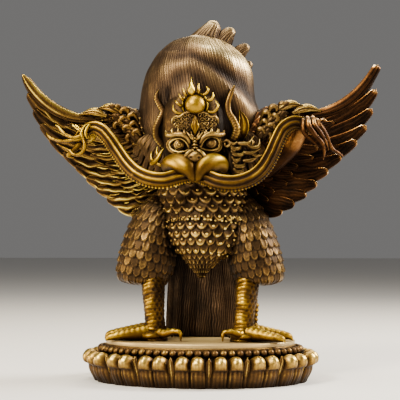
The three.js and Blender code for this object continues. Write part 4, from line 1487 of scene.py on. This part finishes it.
def ear():
    """A cupped ear behind the right horn, with a folded rim and a bright vein. Hair covers the other."""
    def front(u, t, s, w):
        rim = hump(np.abs(u) - 0.86, 0.13)
        vein = hump(u - 0.15, 0.3) * clamp(np.sin(t * 3))
        return 1.1 * rim - 0.9 * hump(u, 0.6) + 0.5 * vein, clamp(0.06 + 0.40 * rim + 0.50 * vein)

    points = [[24.0, -11, 132.4], [25.6, -14.2, 137], [25.6, -14.6, 142.4], [23.4, -13.6, 148.0]]
    return [leaf(points, [1.4, 2.9, 3.2, 2.0, 0.2], [0.35, -1.0, 0.0], 0.9, front, rows=26, cols=23)]


# Curls and flames beside the face
def lick(points, thick, lit, forward=0.0):
    """A plump flame that hooks up to a fine tip, brightest there."""
    def relief(turn, s, p):
        upper = clamp(np.cos(turn + 0.7))
        return 0.25 * np.cos(2 * turn), 0.14 + lit * upper * (0.3 + 0.7 * s / s.max())

    path = [[x, -18.2 - forward + 0.22 * abs(x - 19), z] for x, z in points]
    wide = [thick * 0.8, thick, thick * 1.05, thick * 0.7, 0.2]
    deep = [thick, thick * 1.2, thick * 1.2, thick * 0.8, 0.2]
    return tube(path, wide, deep, cols=10, rows=20, relief=relief, blunt=(0.8, 0.2))


def cheek_curls():
    """On the right a curl, a stack of uneven flames and a branch beside them."""
    shells = [curl([17.2, -19.6, 129.0], 2.2, 2.6, turns=-1.1, thick=0.8, tail=[14.6, -19.6, 131.8],
                   rise=0.8, tone=0.44)]
    for k, (longer, higher) in enumerate(((0.0, 0.6), (0.9, -0.5), (-1.2, 0.8), (0.5, -0.2), (-0.8, 0.5))):
        x, z = 18.6 + 0.5 * k, 127.6 - 3.1 * k
        outer = [(x, z + 1.2), (x + 2.8 + 0.5 * longer, z - 1.2),
                 (x + 5.6 + longer, z - 0.8 + 0.4 * higher), (x + 6.6 + longer, z + 2.2 + higher)]
        inner = [(x + 0.2, z + 2.4), (x + 2.2, z + 1.2 + 0.4 * higher), (x + 4.4 - longer, z + 2.8)]
        shells.append(lick(outer, thick=1.5, lit=0.78))
        shells.append(lick(inner, thick=1.1, lit=0.7, forward=0.6))
    for points, thick in (
        ([(22.6, 129.4), (25.6, 129.2), (29.2, 129.6), (31.8, 133.8)], 1.5),
        ([(27.6, 129.4), (31.0, 127.2), (34.2, 128.0), (34.8, 132.4)], 1.4),
        ([(30.6, 127.8), (31.4, 130.0), (30.4, 132.2)], 1.0),
        ([(25.8, 124.6), (30.0, 124.2), (35.6, 127.0)], 1.4),
        ([(29.8, 124.2), (32.4, 122.8), (36.4, 123.4)], 1.1),
        ([(25.2, 120.0), (29.8, 120.2), (34.2, 122.6)], 1.4),
    ):
        shells.append(lick(points, thick, lit=0.72))
    return shells


def cheek_flame():
    """On the left a branching flame rises beside the beak to the horn."""
    shells = []
    for points, thick in (
        ([(24.6, 118.6), (22.4, 119.4), (19.8, 121.6), (18.4, 124.6), (16.4, 127.4)], 1.7),
        ([(21.6, 119.4), (23.6, 121.4), (23.8, 125.6)], 1.2),
        ([(18.8, 121.8), (20.4, 124.0), (20.6, 128.0)], 1.2),
        ([(21.0, 119.2), (18.0, 118.0), (16.4, 119.8), (15.8, 123.0)], 1.2),
    ):
        shells.append(lick(points, thick, lit=0.8, forward=3.0))
    return mirrored(shells)


def side_locks():
    """Wavy locks fall from behind the horns over the neck and shoulders."""
    def relief(turn, s, p):
        strand = np.sin(turn * 5 + 0.8 * np.sin(s * 0.5))
        return 0.14 * strand, 0.20 + 0.07 * strand + 0.06 * np.cos(turn + 0.6)

    wide, deep = [1.4, 2.2, 2.4, 2.1, 1.3, 0.3], [1.5, 2.0, 2.2, 1.9, 1.2, 0.3]
    shells = []
    for k in range(11):
        share = k / 10
        x, y, z = 18 + 12 * share, -11 + 7 * share, 124 + 9 * share + 5 * math.sin(3 * share)
        drop = 15 + 5 * math.sin(share * 5)
        reach = 5 + 4 * math.sin(share * 2.6)
        sway = 1.5 * (-1) ** k
        path = [
            [x - 4, y + 5, z + 4],
            [x + 0.5, y - 0.5, z],
            [x + reach * 0.4 - sway * 0.5, y - 1.5, z - drop * 0.33],
            [x + reach * 0.5 + sway, y - 1.2, z - drop * 0.66],
            [x + reach * 0.8 + sway * 0.2, y - 0.4, z - drop * 0.9],
            [x + reach + 2.2, y - 0.6, z - drop * 0.96],
        ]
        shells.append(tube(path, wide, deep, cols=26, rows=28, relief=relief, blunt=(1, 0.3)))
    return shells


piece("face", faced(skull() + brow(1) + brow(-1) + nose() + forehead()), BODY)
piece("beak", faced(beak()), GOLD)
piece("eyes", faced(eye(1) + eye(-1)), BODY)
piece("crown_flames", faced(crown_flames() + [lozenge()]), GOLD)
crown_dish()
crown_jewel()
crown_ring()
piece("horns", [right_horn()] + mirrored([left_horn()]), FEATHER_GOLD_PAINTED_LIGHT)
piece("ear", ear(), GOLD)
piece("cheek_curls", cheek_curls(), BODY)
piece("cheek_flame", cheek_flame(), GOLD)
right_locks = side_locks()
piece("side_locks", right_locks + mirrored(right_locks), BODY)


# Hair: fine strands sweep up from the brow in crimped bands, and end in hooked tips
HAIR_BANDS = [
    (105, 0.10), (118, 0.12), (130, 0.30), (141, 0.12), (151, 0.34), (160, 0.36), (168, -0.02),
    (175.6, 0.55), (180, -0.16), (185.5, 0.85), (196, 0.60),
]
PARTING = -4
HAIR_TIPS = [
    ([[-6, 10, 175], [-1.5, 10.5, 185.5], [3.6, 11, 194], [6.8, 11, 199.4], [8.3, 11, 201.6]],
     [12, 10, 6.8, 4.4, 3.0]),
    ([[2, 12.4, 172], [6.5, 13, 183], [11.5, 13.4, 191.2], [15.5, 13.4, 195.2], [18.6, 13.4, 196.2]],
     [10, 8.4, 5.6, 3.7, 2.0]),
    ([[9, 15, 165], [13.5, 15.5, 175], [18.5, 16, 182.4], [23, 16, 186.4], [26.6, 16, 187.2]],
     [9, 7, 4.7, 3.3, 2.0]),
    ([[14, 18, 156], [18.5, 18.5, 167], [22.5, 19, 174], [25.6, 19, 177.4], [28, 19, 177.8]],
     [7.5, 5.8, 4, 2.8, 1.8]),
    ([[12, 26, 148], [18, 29, 159], [22, 30.5, 164.5], [25, 31, 167]], [6, 4.6, 3, 1.9]),
]


def band_light(x, band):
    """How far the hair stands out, and how bright its bands are painted: each band has its own light, painted
    light and shade over the crimps, which changes to each side.
    """
    heights, lights = zip(*HAIR_BANDS)
    light = spline(lights, np.interp(band, heights, np.linspace(0, 1, len(HAIR_BANDS))))
    right = clamp((x - PARTING) / 27)
    left = clamp((-9 - x) / 14)
    light = light * (1 + 0.3 * right) - 0.09 * right
    light = light + 0.34 * hump(band - 180, 2.8) * (1 - clamp((x - PARTING) / 15))
    light = light * np.where(band > 182, np.clip((x + 14) / 12, 0.5, 1), 1)
    return light * (1 - 0.5 * left) + 0.30 * left


def hair_relief(turn, s, p):
    """Fine strands in crimped bands that slope down to each side; the back hangs in plain locks."""
    x, z = p[..., 0], p[..., 2]
    right, left = np.clip(x - PARTING, 0, 40), np.clip(PARTING - x, 0, 40)
    slope = 0.95 * (right / 27) ** 1.3 + 0.68 * (left / 18) ** 1.5
    pivot = np.where(x > PARTING, 197.0, 181.0)
    band = (z + pivot * slope) / (1 + slope) + 0.7 * mottle(turn * 3, z * 0.05, 44)
    light = band_light(x, band)

    back = clamp((np.abs(turn) - 1.3) / 0.6)
    twist = turn + 0.008 * (s - 50) + 0.02 * mottle(s * 0.12, turn * 2, 8)
    strands = 0.5 * np.sin(190 * twist + 2.4 * mottle(twist * 9, band * 0.12, 31))
    strands = strands + 0.5 * np.sin(118 * twist + 2.2 * mottle(twist * 7, band * 0.10, 32))
    strands = (strands + 0.4 * mottle(twist * 40, band * 0.06, 33)) * (1 - back)
    locks = mottle(twist * 13, band * 0.03, 6, 0.8)
    lock_cut = np.abs(np.sin(twist * 11 + 0.5 * np.sin(z * 0.12)))

    # Grooves beside the horns, also painted darker as shade.
    shaded_gap_left = hump(x + 19.0 - 0.1 * (z - 130), 1.5) * clamp((z - 122) / 6)
    shaded_gap_left = shaded_gap_left * clamp((163 - z) / 4)
    shaded_gap_right = 1.3 * hump(x - 15.5, 5.0) * clamp((z - 120) / 6) * clamp((160 - z) / 8)
    groove = (shaded_gap_left + shaded_gap_right) * (np.abs(turn) < 1.2)

    height = 2.3 * light + 0.13 * strands + 0.12 * locks * (1 - back)
    height = height + back * 1.3 * (lock_cut - 0.6) - 0.9 * groove - 0.5
    tone = 0.09 + 0.66 * light + 0.10 * strands + 0.05 * locks + 0.12 * back * (lock_cut - 0.5)
    # A painted highlight across the upper bands, and the right side painted a little lighter as lit.
    tone = tone - 0.22 * groove + 0.24 * hump(band - 187, 3.6) * hump(x - 9, 10) * (1 - back)
    return height, clamp(tone + 0.05 * np.clip(x / 22, -0.6, 1))


def hair():
    """The rings have more points in front, where the strands are fine."""
    path = [
        [0, 13, 96], [0, 11, 108], [-1.2, 8, 120], [-1.9, 6.5, 130], [-1.8, 6.5, 140], [-1.6, 7, 151],
        [-1.9, 7.5, 162], [-2, 8.5, 172], [-1.8, 10, 181], [-1.4, 11, 188], [-1, 12, 192],
    ]
    wide = [8, 16, 25, 31.3, 34.3, 33.8, 31.7, 28.6, 23.6, 15, 1]
    deep = [4, 8, 15, 20, 23, 24, 24, 22.5, 19, 12.5, 1]
    around = uneven_turns(1.7, 620, 110)
    return [tube(path, wide, deep, rows=86, relief=hair_relief, blunt=(6, 0.5), turn=around)]


def hair_tips():
    """Locks sweep up from the crown to blunt hooked tips."""
    def relief(turn, s, p):
        strand = mottle(turn * 9, s * 0.10, 41)
        fine = np.sin(turn * 26 + 2 * mottle(turn * 3, s * 0.08, 42))
        fade = np.clip((s.max() - s) / 6, 0.1, 1)
        lit = 0.22 * clamp(np.cos(turn + 0.9))
        near_tip = (0.66 - 0.016 * p[..., 0]) * (s / s.max()) ** 3
        tone = 0.13 + 0.14 * strand + 0.14 * fine + near_tip + lit
        return (0.20 * strand + 0.20 * fine) * fade, clamp(tone)

    return [tube(path, wide, cols=92, rows=40, relief=relief, blunt=(2, wide[-1]))
            for path, wide in HAIR_TIPS]


piece("hair", hair(), HAIR)
piece("hair_tips", hair_tips(), HAIR)


# Floor, light and camera
FOCAL_PIXELS, HALF_PICTURE_PIXELS, TILT_PIXELS = 1167, 200, 45
SENSOR_WIDTH = 36
VIEW_TURN, VIEW_FAR, VIEW_HEIGHT = math.radians(8), 0.650, 0.0746


def floor():
    """A plain pale floor under the base."""
    clear_hand()
    bpy.ops.mesh.primitive_plane_add(size=12)
    ob = bpy.context.object
    ob.name = "floor"
    m = bpy.data.materials.new("pale_floor")
    m.use_nodes = True
    shader = m.node_tree.nodes["Principled BSDF"]
    shader.inputs["Base Color"].default_value = (0.72, 0.70, 0.67, 1)
    shader.inputs["Roughness"].default_value = 0.7
    ob.data.materials.append(m)


def lamp(name, place, target, size, power, colour):
    """A rectangular lamp that shines at a point above the base."""
    data = bpy.data.lights.new(name, "AREA")
    data.shape = "RECTANGLE"
    data.size, data.size_y = size
    data.energy = power
    data.color = colour
    ob = bpy.data.objects.new(name, data)
    bpy.context.scene.collection.objects.link(ob)
    ob.location = place
    ob.rotation_euler = (Vector(target) - Vector(place)).to_track_quat("-Z", "Y").to_euler()


def backdrop():
    """A plain grey world."""
    world = bpy.data.worlds.new("studio")
    world.use_nodes = True
    background = world.node_tree.nodes["Background"]
    background.inputs["Color"].default_value = (0.55, 0.54, 0.53, 1)
    background.inputs["Strength"].default_value = 0.31
    bpy.context.scene.world = world


def camera():
    """The view of the photograph, as worked out from the oval of the base."""
    data = bpy.data.cameras.new("camera")
    data.sensor_width = SENSOR_WIDTH
    data.lens = SENSOR_WIDTH / 2 / (HALF_PICTURE_PIXELS / FOCAL_PIXELS)
    ob = bpy.data.objects.new("camera", data)
    bpy.context.scene.collection.objects.link(ob)
    ob.location = (VIEW_FAR * math.sin(VIEW_TURN), -VIEW_FAR * math.cos(VIEW_TURN), VIEW_HEIGHT)
    ob.rotation_euler = (math.pi / 2 + math.atan(TILT_PIXELS / FOCAL_PIXELS), 0, VIEW_TURN)
    bpy.context.scene.camera = ob


floor()
lamp("key", (-0.45, -0.75, 0.70), (0, 0, 0.11), (0.30, 0.30), 22, (1.0, 0.91, 0.74))
lamp("fill", (0.75, -0.55, 0.20), (0, 0, 0.10), (0.3, 0.4), 2.6, (1.0, 0.74, 0.48))
lamp("rim", (0.62, 0.16, 0.50), (0, 0, 0.15), (0.30, 0.30), 17, (1.0, 0.95, 0.86))
lamp("top", (-0.1, -0.15, 0.8), (0, 0, 0.1), (0.3, 0.3), 5, (1.0, 0.96, 0.90))
lamp("side", (-0.80, -0.20, 0.14), (0, 0, 0.11), (0.25, 0.35), 5, (1.0, 0.80, 0.52))
lamp("back", (0.05, 0.50, 0.62), (0, 0, 0.15), (0.45, 0.25), 4, (1.0, 0.84, 0.55))
backdrop()
camera()
